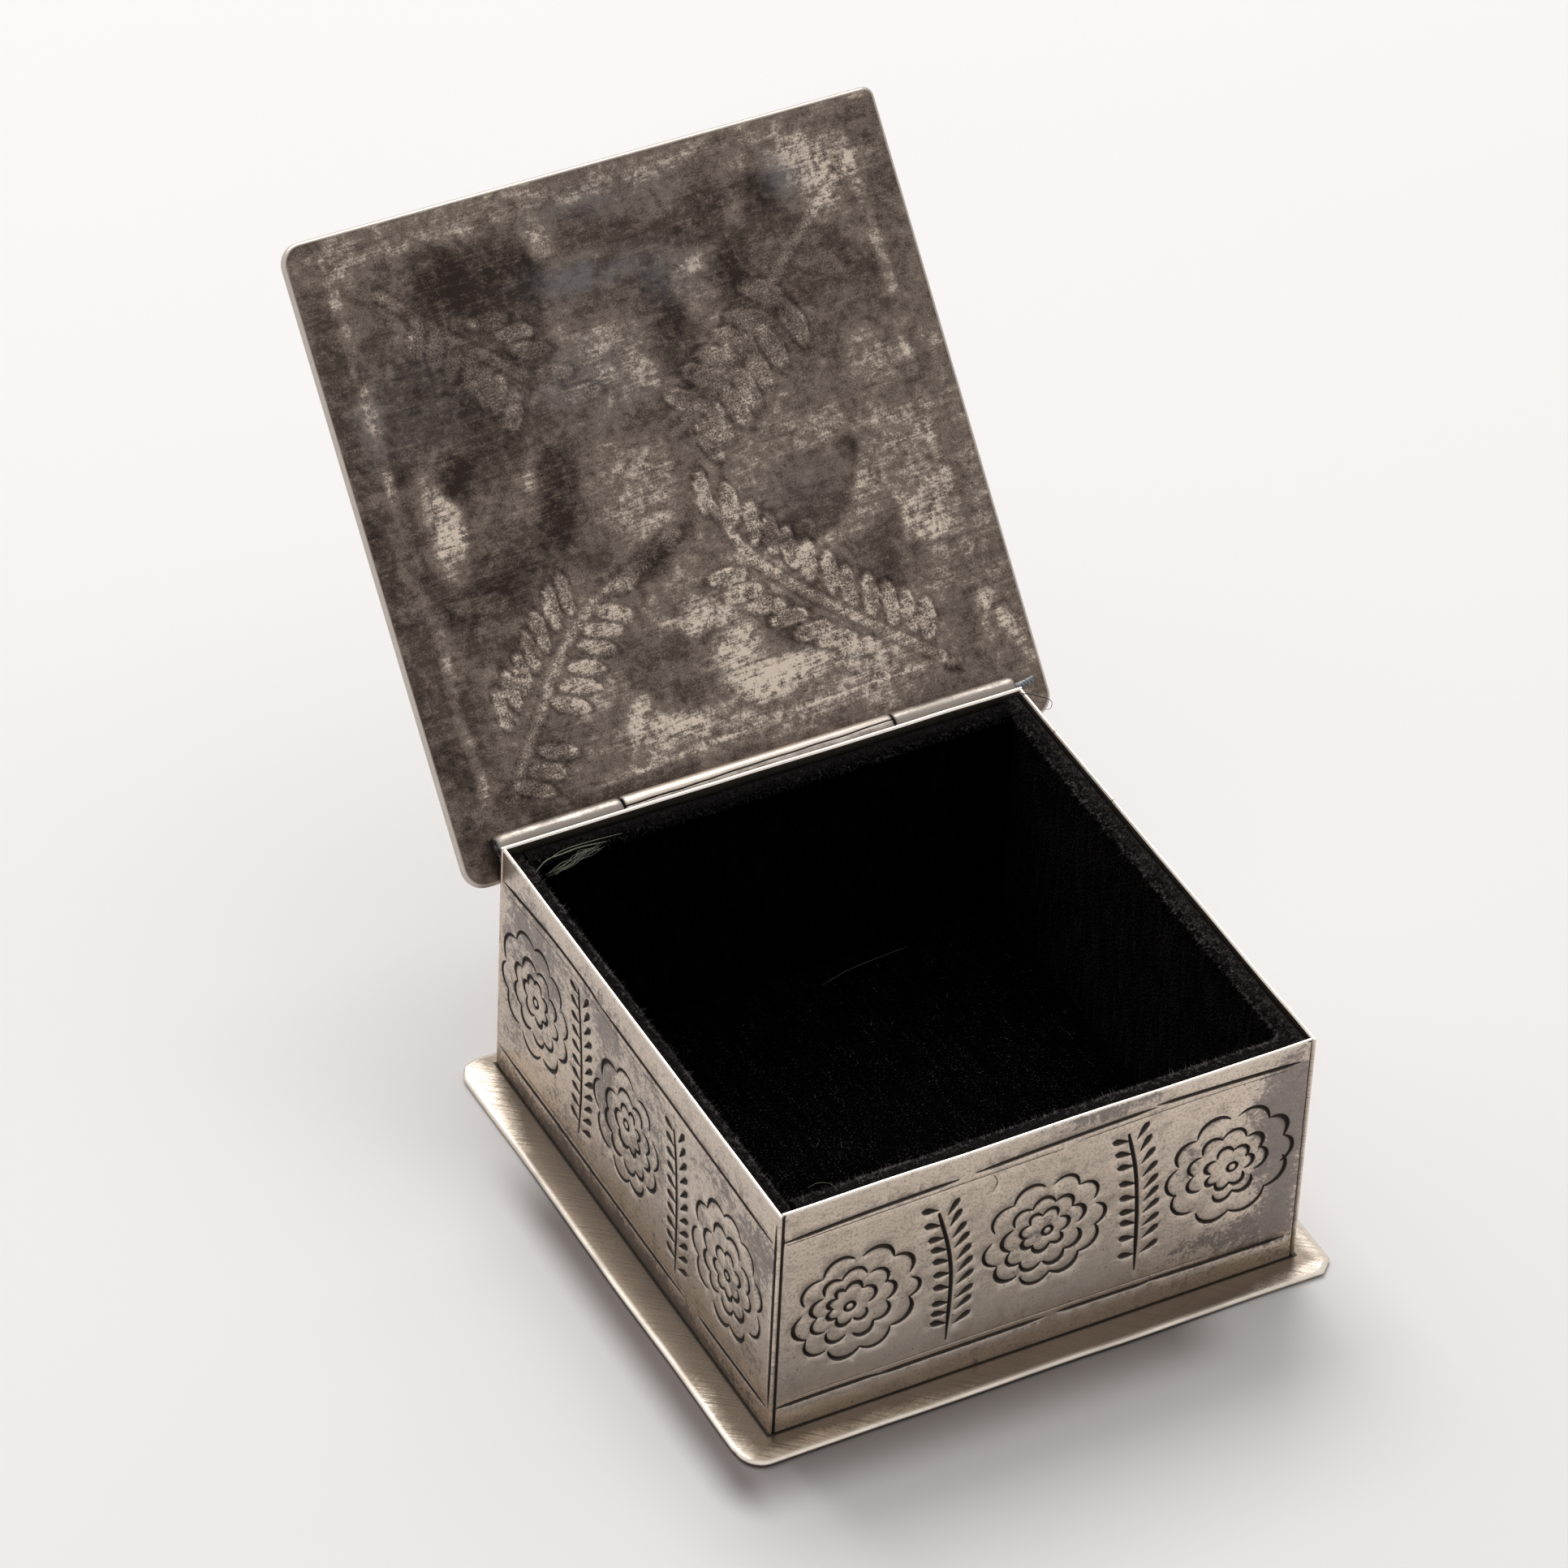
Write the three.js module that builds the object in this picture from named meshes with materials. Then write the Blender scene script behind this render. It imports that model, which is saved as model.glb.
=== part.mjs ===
// A square silver keepsake box: four sheet walls on a base plate, a lid on a
// three-knuckle hinge, and a lining of velvet over card.
// Millimetres, +Z up. The front faces -Y and the hinge runs along X at the rear.
// The origin is the centre of the walls' footprint, on the base plate's underside.
// The lid stands open, its rear edge against the rear wall, which is its stop.

import * as THREE from 'three';

// Walls
const BODY_WIDTH = 76;
const SIDE_WALL_LENGTH = 76;
const WALL_HEIGHT = 37.2;
const WALL_SHEET = 0.6;

// Base plate
const PLATE_SHEET = 1;
const PLATE_LEFT_MARGIN = 5;
const PLATE_RIGHT_MARGIN = 4;
const PLATE_FRONT_MARGIN = 4.1;
const PLATE_REAR_MARGIN = 2.3;
const PLATE_CORNER_RADIUS = 3.5;
const PLATE_CLIPPED_CORNER = 2;
const PLATE_EDGE_RUN = 2.4;
const PLATE_EDGE_DROP = 0.4;

// Lid
const LID_SHEET = 1.2;
const LID_LEFT_MARGIN = 4.4;
const LID_RIGHT_MARGIN = 5.8;
const LID_FRONT_MARGIN = 3;
const LID_CORNER_RADIUS = 3;
const LID_TIGHT_CORNER_RADIUS = 1.5;
const LID_EDGE_RADIUS = 0.55;
const LID_OPEN_ANGLE = THREE.MathUtils.degToRad(132);

// Hinge
const TUBE_DIAMETER = 3.3;
const PIN_DIAMETER = 1.1;
const SIDE_KNUCKLE_LENGTH = 18;
const HINGE_END_INSET = 0.15;
const PIN_TAIL = 3;

// Lining
const CARD_SHEET = 1.2;
const VELVET_PILE = 0.9;
const LINING_DROP = 1.2;
const VELVET_ROUNDING = 1.1;

// Clearances
const SOLDER_SEAM = 0.1;
const STOP_CLEARANCE = 0.1;
const PIN_CLEARANCE = 0.1;
const KNUCKLE_CLEARANCE = 0.15;
const LINING_CLEARANCE = 0.05;

// Smoothness of arcs and rounded edges
const CORNER_SEGMENTS = 8;
const EDGE_SEGMENTS = 4;
const TUBE_SEGMENTS = 32;

// Faces and levels that several pieces share
const HALF_WIDTH = BODY_WIDTH / 2;
const FRONT_FACE = -SIDE_WALL_LENGTH / 2;
const SIDE_WALL_REAR = SIDE_WALL_LENGTH / 2;
const REAR_FACE = SIDE_WALL_REAR + WALL_SHEET;
const FLOOR_LEVEL = PLATE_SHEET;
const RIM_LEVEL = FLOOR_LEVEL + WALL_HEIGHT;

// Hinge axis: the tube lies against the rear wall, its top just under the rim.
const TUBE_RADIUS = TUBE_DIAMETER / 2;
const TUBE_REACH = TUBE_RADIUS + SOLDER_SEAM;
const HINGE_Y = REAR_FACE + TUBE_REACH;
const HINGE_Z = RIM_LEVEL - TUBE_RADIUS;

// The three knuckles fill the rear wall's length, and the centre one takes what the sides leave.
const HINGE_END = HALF_WIDTH - HINGE_END_INSET;
const SIDE_KNUCKLE_START = HINGE_END - SIDE_KNUCKLE_LENGTH;
const CENTRE_KNUCKLE_END = SIDE_KNUCKLE_START - KNUCKLE_CLEARANCE;

// Lid overhang behind the hinge axis that brings its rounded rear edge to rest
// on the rear wall at the open angle.
const LID_EDGE_HEIGHT = TUBE_REACH + LID_EDGE_RADIUS;
const LID_EDGE_SWING = LID_EDGE_HEIGHT * Math.sin(LID_OPEN_ANGLE) - LID_EDGE_RADIUS;
const LID_REACH_BEHIND_AXIS =
  LID_EDGE_RADIUS + (LID_EDGE_SWING + TUBE_REACH - STOP_CLEARANCE) / -Math.cos(LID_OPEN_ANGLE);
const LID_REACH_BEFORE_AXIS = HINGE_Y - FRONT_FACE + LID_FRONT_MARGIN;

// The lining fills the inside of the walls.
const INNER_HALF_WIDTH = HALF_WIDTH - WALL_SHEET;
const INNER_FRONT = FRONT_FACE + WALL_SHEET;
const INNER_REAR = SIDE_WALL_REAR;
const INNER_DEPTH = INNER_REAR - INNER_FRONT;
const LINING_TOP = RIM_LEVEL - LINING_DROP;
const CARD_TOP = LINING_TOP - VELVET_PILE - LINING_CLEARANCE;
const CARD_OFFSET = LINING_CLEARANCE;
const VELVET_OFFSET = CARD_OFFSET + CARD_SHEET + LINING_CLEARANCE;
const PANEL_DEPTH = VELVET_OFFSET + VELVET_PILE;

// Finishes
const SILVER = { color: 0xb3a898, roughness: 0.38, metalness: 1 };
const TARNISHED_SILVER = { color: 0x75695f, roughness: 0.45, metalness: 1 };
const BRUSHED_SILVER = { color: 0xc2b59f, roughness: 0.32, metalness: 1 };
const STEEL = { color: 0x777a7d, roughness: 0.55, metalness: 1 };
const CARD = { color: 0x8a7c68, roughness: 0.95, metalness: 0 };
const VELVET = { color: 0x0d0b0d, roughness: 1, metalness: 0 };

/** Makes one named piece with a material of its own. */
function piece(name, geometry, finish) {
  const mesh = new THREE.Mesh(geometry, new THREE.MeshStandardMaterial(finish));
  mesh.name = name;
  return mesh;
}

/** Makes a box piece that fills the space between two opposite corners. */
function slab(name, low, high, finish) {
  const size = new THREE.Vector3().subVectors(high, low);
  const mesh = piece(name, new THREE.BoxGeometry(size.x, size.y, size.z), finish);
  mesh.position.addVectors(low, high).multiplyScalar(0.5);
  return mesh;
}

/** Draws a rectangle with a radius at each corner, counter-clockwise from the front right. */
function roundedOutline(left, right, front, rear, radii) {
  const [frontRight, rearRight, rearLeft, frontLeft] = radii;
  const quarter = Math.PI / 2;
  const shape = new THREE.Shape();
  shape.moveTo(left + frontLeft, front);
  shape.lineTo(right - frontRight, front);
  shape.absarc(right - frontRight, front + frontRight, frontRight, -quarter, 0);
  shape.lineTo(right, rear - rearRight);
  shape.absarc(right - rearRight, rear - rearRight, rearRight, 0, quarter);
  shape.lineTo(left + rearLeft, rear);
  shape.absarc(left + rearLeft, rear - rearLeft, rearLeft, quarter, 2 * quarter);
  shape.lineTo(left, front + frontLeft);
  shape.absarc(left + frontLeft, front + frontLeft, frontLeft, 2 * quarter, 3 * quarter);
  return shape;
}

/** Draws the base plate's outline, with three round corners and the front right one clipped. */
function plateOutline(left, right, front, rear) {
  const radius = PLATE_CORNER_RADIUS;
  const quarter = Math.PI / 2;
  const shape = new THREE.Shape();
  shape.moveTo(left + radius, front);
  shape.lineTo(right - PLATE_CLIPPED_CORNER, front);
  shape.lineTo(right, front + PLATE_CLIPPED_CORNER);
  shape.lineTo(right, rear - radius);
  shape.absarc(right - radius, rear - radius, radius, 0, quarter);
  shape.lineTo(left + radius, rear);
  shape.absarc(left + radius, rear - radius, radius, quarter, 2 * quarter);
  shape.lineTo(left, front + radius);
  shape.absarc(left + radius, front + radius, radius, 2 * quarter, 3 * quarter);
  return shape;
}

/** Cuts sheet to an outline and files both its edges round; the sheet lies on z = 0. */
function filedSheet(outline, sheet, edgeRun, edgeDrop) {
  const geometry = new THREE.ExtrudeGeometry(outline, {
    depth: sheet - 2 * edgeDrop,
    bevelEnabled: true,
    bevelSize: edgeRun,
    bevelOffset: -edgeRun,
    bevelThickness: edgeDrop,
    bevelSegments: EDGE_SEGMENTS,
    curveSegments: CORNER_SEGMENTS,
  });
  geometry.translate(0, 0, edgeDrop);
  return geometry;
}

/** Makes a tube along X, open at both ends, between two places on the axis. */
function tube(name, start, end, outerRadius, innerRadius, finish) {
  const ring = [
    new THREE.Vector2(innerRadius, start),
    new THREE.Vector2(outerRadius, start),
    new THREE.Vector2(outerRadius, end),
    new THREE.Vector2(innerRadius, end),
    new THREE.Vector2(innerRadius, start),
  ];
  const geometry = new THREE.LatheGeometry(ring, TUBE_SEGMENTS);
  geometry.rotateZ(-Math.PI / 2);
  return piece(name, geometry, finish);
}

/** Makes a solid round rod along X between two places on the axis. */
function rod(name, start, end, radius, finish) {
  const geometry = new THREE.CylinderGeometry(radius, radius, end - start, TUBE_SEGMENTS);
  geometry.rotateZ(-Math.PI / 2);
  const mesh = piece(name, geometry, finish);
  mesh.position.x = (start + end) / 2;
  return mesh;
}

/** Base plate, wider than the walls all round. */
function basePlate() {
  const outline = plateOutline(
    -HALF_WIDTH - PLATE_LEFT_MARGIN,
    HALF_WIDTH + PLATE_RIGHT_MARGIN,
    FRONT_FACE - PLATE_FRONT_MARGIN,
    REAR_FACE + PLATE_REAR_MARGIN,
  );
  const geometry = filedSheet(outline, PLATE_SHEET, PLATE_EDGE_RUN, PLATE_EDGE_DROP);
  return piece('base_plate', geometry, BRUSHED_SILVER);
}

/** Four sheet walls: the front lies between the sides, and the rear laps over their ends. */
function walls() {
  const sideWall = (name, outer, inner) => slab(
    name,
    new THREE.Vector3(Math.min(outer, inner), FRONT_FACE, FLOOR_LEVEL),
    new THREE.Vector3(Math.max(outer, inner), SIDE_WALL_REAR, RIM_LEVEL),
    SILVER,
  );
  const crossWall = (name, halfLength, face) => slab(
    name,
    new THREE.Vector3(-halfLength, face, FLOOR_LEVEL),
    new THREE.Vector3(halfLength, face + WALL_SHEET, RIM_LEVEL),
    SILVER,
  );
  return [
    sideWall('left_wall', -HALF_WIDTH, -INNER_HALF_WIDTH),
    sideWall('right_wall', HALF_WIDTH, INNER_HALF_WIDTH),
    crossWall('front_wall', INNER_HALF_WIDTH, FRONT_FACE),
    crossWall('rear_wall', HALF_WIDTH, SIDE_WALL_REAR),
  ];
}

/** Section of a velvet sheet that lines a card panel and turns over its top edge. */
function velvetSection() {
  const height = LINING_TOP - FLOOR_LEVEL;
  const cardTop = CARD_TOP + LINING_CLEARANCE - FLOOR_LEVEL;
  const shape = new THREE.Shape();
  shape.moveTo(VELVET_OFFSET, 0);
  shape.lineTo(PANEL_DEPTH, 0);
  shape.lineTo(PANEL_DEPTH, height - VELVET_ROUNDING);
  shape.absarc(PANEL_DEPTH - VELVET_ROUNDING, height - VELVET_ROUNDING, VELVET_ROUNDING, 0, Math.PI / 2);
  shape.lineTo(CARD_OFFSET, height);
  shape.lineTo(CARD_OFFSET, cardTop);
  shape.lineTo(VELVET_OFFSET, cardTop);
  shape.closePath();
  return shape;
}

/**
 * Card and velvet on one wall. The panel is drawn on a wall whose inner face is
 * the plane x = 0, with the panel on its +X side, and then turned into place.
 */
function liningPanel(side, length, turn, centre) {
  const card = slab(
    `${side}_card`,
    new THREE.Vector3(CARD_OFFSET, -length / 2, 0),
    new THREE.Vector3(CARD_OFFSET + CARD_SHEET, length / 2, CARD_TOP - FLOOR_LEVEL),
    CARD,
  );
  const geometry = new THREE.ExtrudeGeometry(velvetSection(), {
    depth: length,
    bevelEnabled: false,
    curveSegments: CORNER_SEGMENTS,
  });
  geometry.rotateX(Math.PI / 2);
  geometry.translate(0, length / 2, 0);
  const velvet = piece(`${side}_velvet`, geometry, VELVET);
  const panel = new THREE.Group();
  panel.add(card, velvet);
  panel.rotation.z = turn;
  panel.position.copy(centre);
  return panel;
}

/** Floor pad: card with velvet on top, held between the four wall panels. */
function floorPad() {
  const edge = PANEL_DEPTH + LINING_CLEARANCE;
  const layer = (name, bottom, top, finish) => slab(
    name,
    new THREE.Vector3(-INNER_HALF_WIDTH + edge, INNER_FRONT + edge, bottom),
    new THREE.Vector3(INNER_HALF_WIDTH - edge, INNER_REAR - edge, top),
    finish,
  );
  const cardTop = FLOOR_LEVEL + CARD_SHEET;
  const velvetBottom = cardTop + LINING_CLEARANCE;
  return [
    layer('floor_card', FLOOR_LEVEL, cardTop, CARD),
    layer('floor_velvet', velvetBottom, velvetBottom + VELVET_PILE, VELVET),
  ];
}

/** Lining: long panels on the side walls, shorter ones between them, and the floor pad. */
function lining() {
  const quarter = Math.PI / 2;
  const middle = (INNER_FRONT + INNER_REAR) / 2;
  const sideLength = INNER_DEPTH - 2 * LINING_CLEARANCE;
  const crossLength = 2 * (INNER_HALF_WIDTH - PANEL_DEPTH - LINING_CLEARANCE);
  return [
    liningPanel('left', sideLength, 0, new THREE.Vector3(-INNER_HALF_WIDTH, middle, FLOOR_LEVEL)),
    liningPanel('front', crossLength, quarter, new THREE.Vector3(0, INNER_FRONT, FLOOR_LEVEL)),
    liningPanel('right', sideLength, 2 * quarter, new THREE.Vector3(INNER_HALF_WIDTH, middle, FLOOR_LEVEL)),
    liningPanel('rear', crossLength, 3 * quarter, new THREE.Vector3(0, INNER_REAR, FLOOR_LEVEL)),
    ...floorPad(),
  ];
}

/** Fixed half of the hinge, drawn on its axis: the two side knuckles and the pin. */
function hingeOnBox() {
  const bore = PIN_DIAMETER / 2 + PIN_CLEARANCE;
  const hinge = new THREE.Group();
  hinge.add(
    tube('hinge_knuckle_left', -HINGE_END, -SIDE_KNUCKLE_START, TUBE_RADIUS, bore, SILVER),
    tube('hinge_knuckle_right', SIDE_KNUCKLE_START, HINGE_END, TUBE_RADIUS, bore, SILVER),
    rod('hinge_pin', -HINGE_END, HINGE_END + PIN_TAIL, PIN_DIAMETER / 2, STEEL),
  );
  hinge.position.set(0, HINGE_Y, HINGE_Z);
  return hinge;
}

/** Lid and its knuckle, drawn shut about the hinge axis and then swung open to the stop. */
function lid() {
  const bore = PIN_DIAMETER / 2 + PIN_CLEARANCE;
  const outline = roundedOutline(
    -HALF_WIDTH - LID_LEFT_MARGIN,
    HALF_WIDTH + LID_RIGHT_MARGIN,
    -LID_REACH_BEFORE_AXIS,
    LID_REACH_BEHIND_AXIS,
    [LID_TIGHT_CORNER_RADIUS, LID_CORNER_RADIUS, LID_CORNER_RADIUS, LID_CORNER_RADIUS],
  );
  const geometry = filedSheet(outline, LID_SHEET, LID_EDGE_RADIUS, LID_EDGE_RADIUS);
  const plate = piece('lid_plate', geometry, TARNISHED_SILVER);
  plate.position.z = TUBE_REACH;
  const reach = CENTRE_KNUCKLE_END;
  const swing = new THREE.Group();
  swing.add(plate, tube('hinge_knuckle_centre', -reach, reach, TUBE_RADIUS, bore, SILVER));
  swing.position.set(0, HINGE_Y, HINGE_Z);
  swing.rotation.x = -LID_OPEN_ANGLE;
  return swing;
}

const box = new THREE.Group();
box.add(basePlate(), ...walls(), ...lining(), hingeOnBox(), lid());

export default box;
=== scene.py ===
"""Looks of the silver keepsake box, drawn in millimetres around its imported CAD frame."""

import logging
import math
from collections.abc import Iterator, Sequence
from dataclasses import dataclass, replace
from enum import Enum

import bmesh
import bpy
import numpy as np
from mathutils import Matrix, Vector
from mathutils.geometry import delaunay_2d_cdt


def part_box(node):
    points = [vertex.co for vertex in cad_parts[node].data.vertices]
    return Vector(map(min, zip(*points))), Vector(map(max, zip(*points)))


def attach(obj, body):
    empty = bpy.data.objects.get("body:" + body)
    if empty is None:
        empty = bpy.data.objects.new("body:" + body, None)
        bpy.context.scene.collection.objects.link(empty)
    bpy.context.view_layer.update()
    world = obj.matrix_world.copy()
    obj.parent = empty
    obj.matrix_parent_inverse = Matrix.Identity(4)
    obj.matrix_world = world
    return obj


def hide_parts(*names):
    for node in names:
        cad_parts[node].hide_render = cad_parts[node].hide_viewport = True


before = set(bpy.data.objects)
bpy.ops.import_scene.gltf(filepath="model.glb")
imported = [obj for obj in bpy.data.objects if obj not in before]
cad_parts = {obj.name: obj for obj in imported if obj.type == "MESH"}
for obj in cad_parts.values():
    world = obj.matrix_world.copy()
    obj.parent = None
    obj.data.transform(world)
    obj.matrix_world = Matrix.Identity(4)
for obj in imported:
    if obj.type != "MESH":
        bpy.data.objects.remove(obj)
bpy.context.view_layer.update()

LOG = logging.getLogger("keepsake_box")
MM = 0.001

Colour = tuple[float, float, float]
Point = tuple[float, float]
Place = tuple[float, float, float]
Patch = tuple[float, float, float, float, float]


def node_box(node: str) -> tuple[np.ndarray, np.ndarray]:
    """Gives a CAD node's lowest and highest corners.

    Args:
        node: Name of the CAD node.

    Returns:
        The two corners in millimetres.
    """
    low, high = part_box(node)
    return np.array(low) / MM, np.array(high) / MM


FRONT_FACE = float(node_box("left_wall")[0][1])
SIDE_REAR = float(node_box("left_wall")[1][1])
REAR_FACE = float(node_box("rear_wall")[1][1])
HALF_WIDTH = float(node_box("right_wall")[1][0])
FLOOR_LEVEL = float(node_box("front_wall")[0][2])
RIM_LEVEL = float(node_box("front_wall")[1][2])
WALL_HEIGHT = RIM_LEVEL - FLOOR_LEVEL
WALL_SHEET = REAR_FACE - SIDE_REAR
TUBE_LOW, TUBE_HIGH = node_box("hinge_knuckle_left")
TUBE_RADIUS = float(TUBE_HIGH[2] - TUBE_LOW[2]) / 2
HINGE_Y = float(TUBE_HIGH[1] + TUBE_LOW[1]) / 2
HINGE_Z = float(TUBE_HIGH[2] + TUBE_LOW[2]) / 2
LID_ANGLE = math.radians(132)


class Body(Enum):
    """The two bodies of the hinge."""

    BOX = "box"
    LID = "lid"


class Slot(Enum):
    """The record's material slots."""

    STAMPED = "stamped_silver"
    BRUSHED = "brushed_silver"
    HINGE = "hinge_silver"
    TARNISHED = "tarnished_silver"
    STEEL = "steel"
    CARD = "card"
    VELVET = "velvet"


class Noise:
    """Seeded smooth noise over a plane, from -1 to 1."""

    CELLS = 64

    def __init__(self, seed: int) -> None:
        """Fills the table of random heights."""
        self.table = np.random.default_rng(seed).uniform(-1, 1, (self.CELLS, self.CELLS))

    def at(self, x: np.ndarray, y: np.ndarray, scale: float) -> np.ndarray:
        """Reads one layer of noise.

        Args:
            x: First coordinates in millimetres.
            y: Second coordinates in millimetres.
            scale: Size of one swell in millimetres.

        Returns:
            A value for each point.
        """
        u, v = np.asarray(x, float) / scale, np.asarray(y, float) / scale
        i, j = np.floor(u).astype(int), np.floor(v).astype(int)
        s, t = u - i, v - j
        s, t = s * s * (3 - 2 * s), t * t * (3 - 2 * t)
        cell = lambda a, b: self.table[a % self.CELLS, b % self.CELLS]
        low = cell(i, j) * (1 - s) + cell(i + 1, j) * s
        high = cell(i, j + 1) * (1 - s) + cell(i + 1, j + 1) * s
        return low * (1 - t) + high * t

    def layers(self, x: np.ndarray, y: np.ndarray, scale: float, count: int = 4) -> np.ndarray:
        """Adds up layers of noise, each half the size and strength of the last.

        Args:
            x: First coordinates in millimetres.
            y: Second coordinates in millimetres.
            scale: Size of the largest swell in millimetres.
            count: How many layers there are.

        Returns:
            A value for each point, mostly within -1 to 1.
        """
        total = np.zeros(np.broadcast(x, y).shape)
        for layer in range(count):
            share = 0.5 ** layer
            total = total + share * self.at(x + 17.3 * layer, y - 9.1 * layer, scale * share)
        return total / (2 - 0.5 ** (count - 1))


def smooth_step(value: np.ndarray, low: float, high: float) -> np.ndarray:
    """Rises smoothly from 0 at low to 1 at high, or falls where low is the larger.

    Args:
        value: What is compared.
        low: Where the result is 0.
        high: Where the result is 1.

    Returns:
        The share from 0 to 1 at each value.
    """
    t = np.clip((np.asarray(value, float) - low) / (high - low), 0, 1)
    return t * t * (3 - 2 * t)


def curve_through(points: Sequence[Point], step: float) -> np.ndarray:
    """Draws a smooth line through a few points.

    Args:
        points: The points it goes through.
        step: Spacing of the result's points in millimetres.

    Returns:
        The line's points, one row each.
    """
    knots = np.array(points, float)
    if len(knots) == 2:
        count = max(2, int(math.ceil(np.linalg.norm(knots[1] - knots[0]) / step)) + 1)
        return knots[0] + np.linspace(0, 1, count)[:, None] * (knots[1] - knots[0])
    padded = np.vstack([2 * knots[0] - knots[1], knots, 2 * knots[-1] - knots[-2]])
    pieces = []
    for a, b, c, d in zip(padded, padded[1:], padded[2:], padded[3:]):
        count = max(2, int(math.ceil(np.linalg.norm(c - b) / step)))
        t = np.linspace(0, 1, count, endpoint=False)[:, None]
        pieces.append(0.5 * (2 * b + (c - a) * t + (2 * a - 5 * b + 4 * c - d) * t ** 2
                             + (3 * b - a - 3 * c + d) * t ** 3))
    return np.vstack([*pieces, knots[-1:]])


class Nodes:
    """Short calls that add and join the shader nodes used by the finishes."""

    def __init__(self, tree: bpy.types.NodeTree) -> None:
        """Starts from an empty tree."""
        self.tree = tree
        tree.nodes.clear()

    def add(self, kind: str, **settings: object) -> bpy.types.Node:
        """Adds a node.

        Args:
            kind: Blender's name for the node type.
            **settings: Properties to set on it.

        Returns:
            The new node.
        """
        node = self.tree.nodes.new(kind)
        for key, setting in settings.items():
            setattr(node, key, setting)
        return node

    def feed(self, socket: bpy.types.NodeSocket, value: object) -> None:
        """Joins an output to a socket, or sets a plain value or colour on it.

        Args:
            socket: The socket.
            value: An output, a plain value, a colour, or nothing.
        """
        if isinstance(value, bpy.types.NodeSocket):
            self.tree.links.new(value, socket)
        elif isinstance(value, tuple) and socket.type == "RGBA":
            socket.default_value = (*value, 1.0)
        elif value is not None:
            socket.default_value = value

    def surface(self) -> bpy.types.Node:
        """Adds a Principled shader joined to the material's output.

        Returns:
            The shader.
        """
        shader = self.add("ShaderNodeBsdfPrincipled")
        self.feed(self.add("ShaderNodeOutputMaterial").inputs["Surface"], shader.outputs["BSDF"])
        return shader

    def kept(self, name: str) -> bpy.types.NodeSocket:
        """Reads a number that is kept at the mesh's points."""
        return self.add("ShaderNodeAttribute", attribute_name=name).outputs["Fac"]

    def flat(self, stretch: Place = (1.0, 1.0, 1.0), turn: float = 0.0) -> bpy.types.NodeSocket:
        """Reads the places kept at the points, in millimetres, for a grain.

        Args:
            stretch: Scale along each direction; a small one draws the grain out.
            turn: Angle in degrees by which the grain is turned first.

        Returns:
            The vector to give to a texture.
        """
        place = self.add("ShaderNodeAttribute", attribute_name="flat").outputs["Vector"]
        turned = self.add("ShaderNodeVectorRotate", rotation_type="Z_AXIS")
        self.feed(turned.inputs["Vector"], place)
        turned.inputs["Angle"].default_value = math.radians(turn)
        scaled = self.add("ShaderNodeVectorMath", operation="MULTIPLY")
        self.feed(scaled.inputs[0], turned.outputs[0])
        scaled.inputs[1].default_value = stretch
        return scaled.outputs[0]

    def noise(self, place: object, size: float, detail: float = 3.0, rough: float = 0.55,
              twist: float = 0.0) -> bpy.types.NodeSocket:
        """Adds a noise texture.

        Args:
            place: Vector in millimetres.
            size: Size of its swells in millimetres.
            detail: Number of finer layers.
            rough: Strength of the finer layers.
            twist: How much it is distorted.

        Returns:
            Its value, about 0 to 1.
        """
        node = self.add("ShaderNodeTexNoise")
        self.feed(node.inputs["Vector"], place)
        node.inputs["Scale"].default_value = 1 / size
        node.inputs["Detail"].default_value = detail
        node.inputs["Roughness"].default_value = rough
        node.inputs["Distortion"].default_value = twist
        return node.outputs[0]

    def math(self, operation: str, first: object, second: object = None) -> bpy.types.NodeSocket:
        """Adds a Math node and gives its result.

        Args:
            operation: Blender's name for the sum.
            first: Its first value.
            second: Its second value, if it takes one.

        Returns:
            The result.
        """
        node = self.add("ShaderNodeMath", operation=operation)
        self.feed(node.inputs[0], first)
        self.feed(node.inputs[1], second)
        return node.outputs[0]

    def total(self, *parts: tuple[object, float], base: float = 0.0) -> bpy.types.NodeSocket:
        """Adds up values, each times its own share.

        Args:
            *parts: Pairs of a value and its share.
            base: What the sum starts from.

        Returns:
            The sum.
        """
        result: object = base
        for value, share in parts:
            node = self.add("ShaderNodeMath", operation="MULTIPLY_ADD")
            self.feed(node.inputs[0], value)
            node.inputs[1].default_value = share
            self.feed(node.inputs[2], result)
            result = node.outputs[0]
        return result

    def span(self, value: object, low: float, high: float, start: float = 0.0,
             end: float = 1.0) -> bpy.types.NodeSocket:
        """Turns a value that runs from low to high into one from start to end, clamped.

        Args:
            value: The value to turn.
            low: Where the result is start.
            high: Where the result is end.
            start: First result.
            end: Last result.

        Returns:
            The new value.
        """
        node = self.add("ShaderNodeMapRange", interpolation_type="SMOOTHSTEP")
        self.feed(node.inputs["Value"], value)
        for name, setting in zip(("From Min", "From Max", "To Min", "To Max"), (low, high, start, end)):
            node.inputs[name].default_value = setting
        return node.outputs[0]

    def blend(self, amount: object, first: object, second: object,
              mode: str = "MIX") -> bpy.types.NodeSocket:
        """Mixes two colours.

        Args:
            amount: Share of the second colour.
            first: First colour.
            second: Second colour.
            mode: Blender's name for the way they mix.

        Returns:
            The mixed colour.
        """
        node = self.add("ShaderNodeMix", data_type="RGBA", blend_type=mode)
        self.feed(node.inputs[0], amount)
        self.feed(node.inputs[6], first)
        self.feed(node.inputs[7], second)
        return node.outputs[2]

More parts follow.
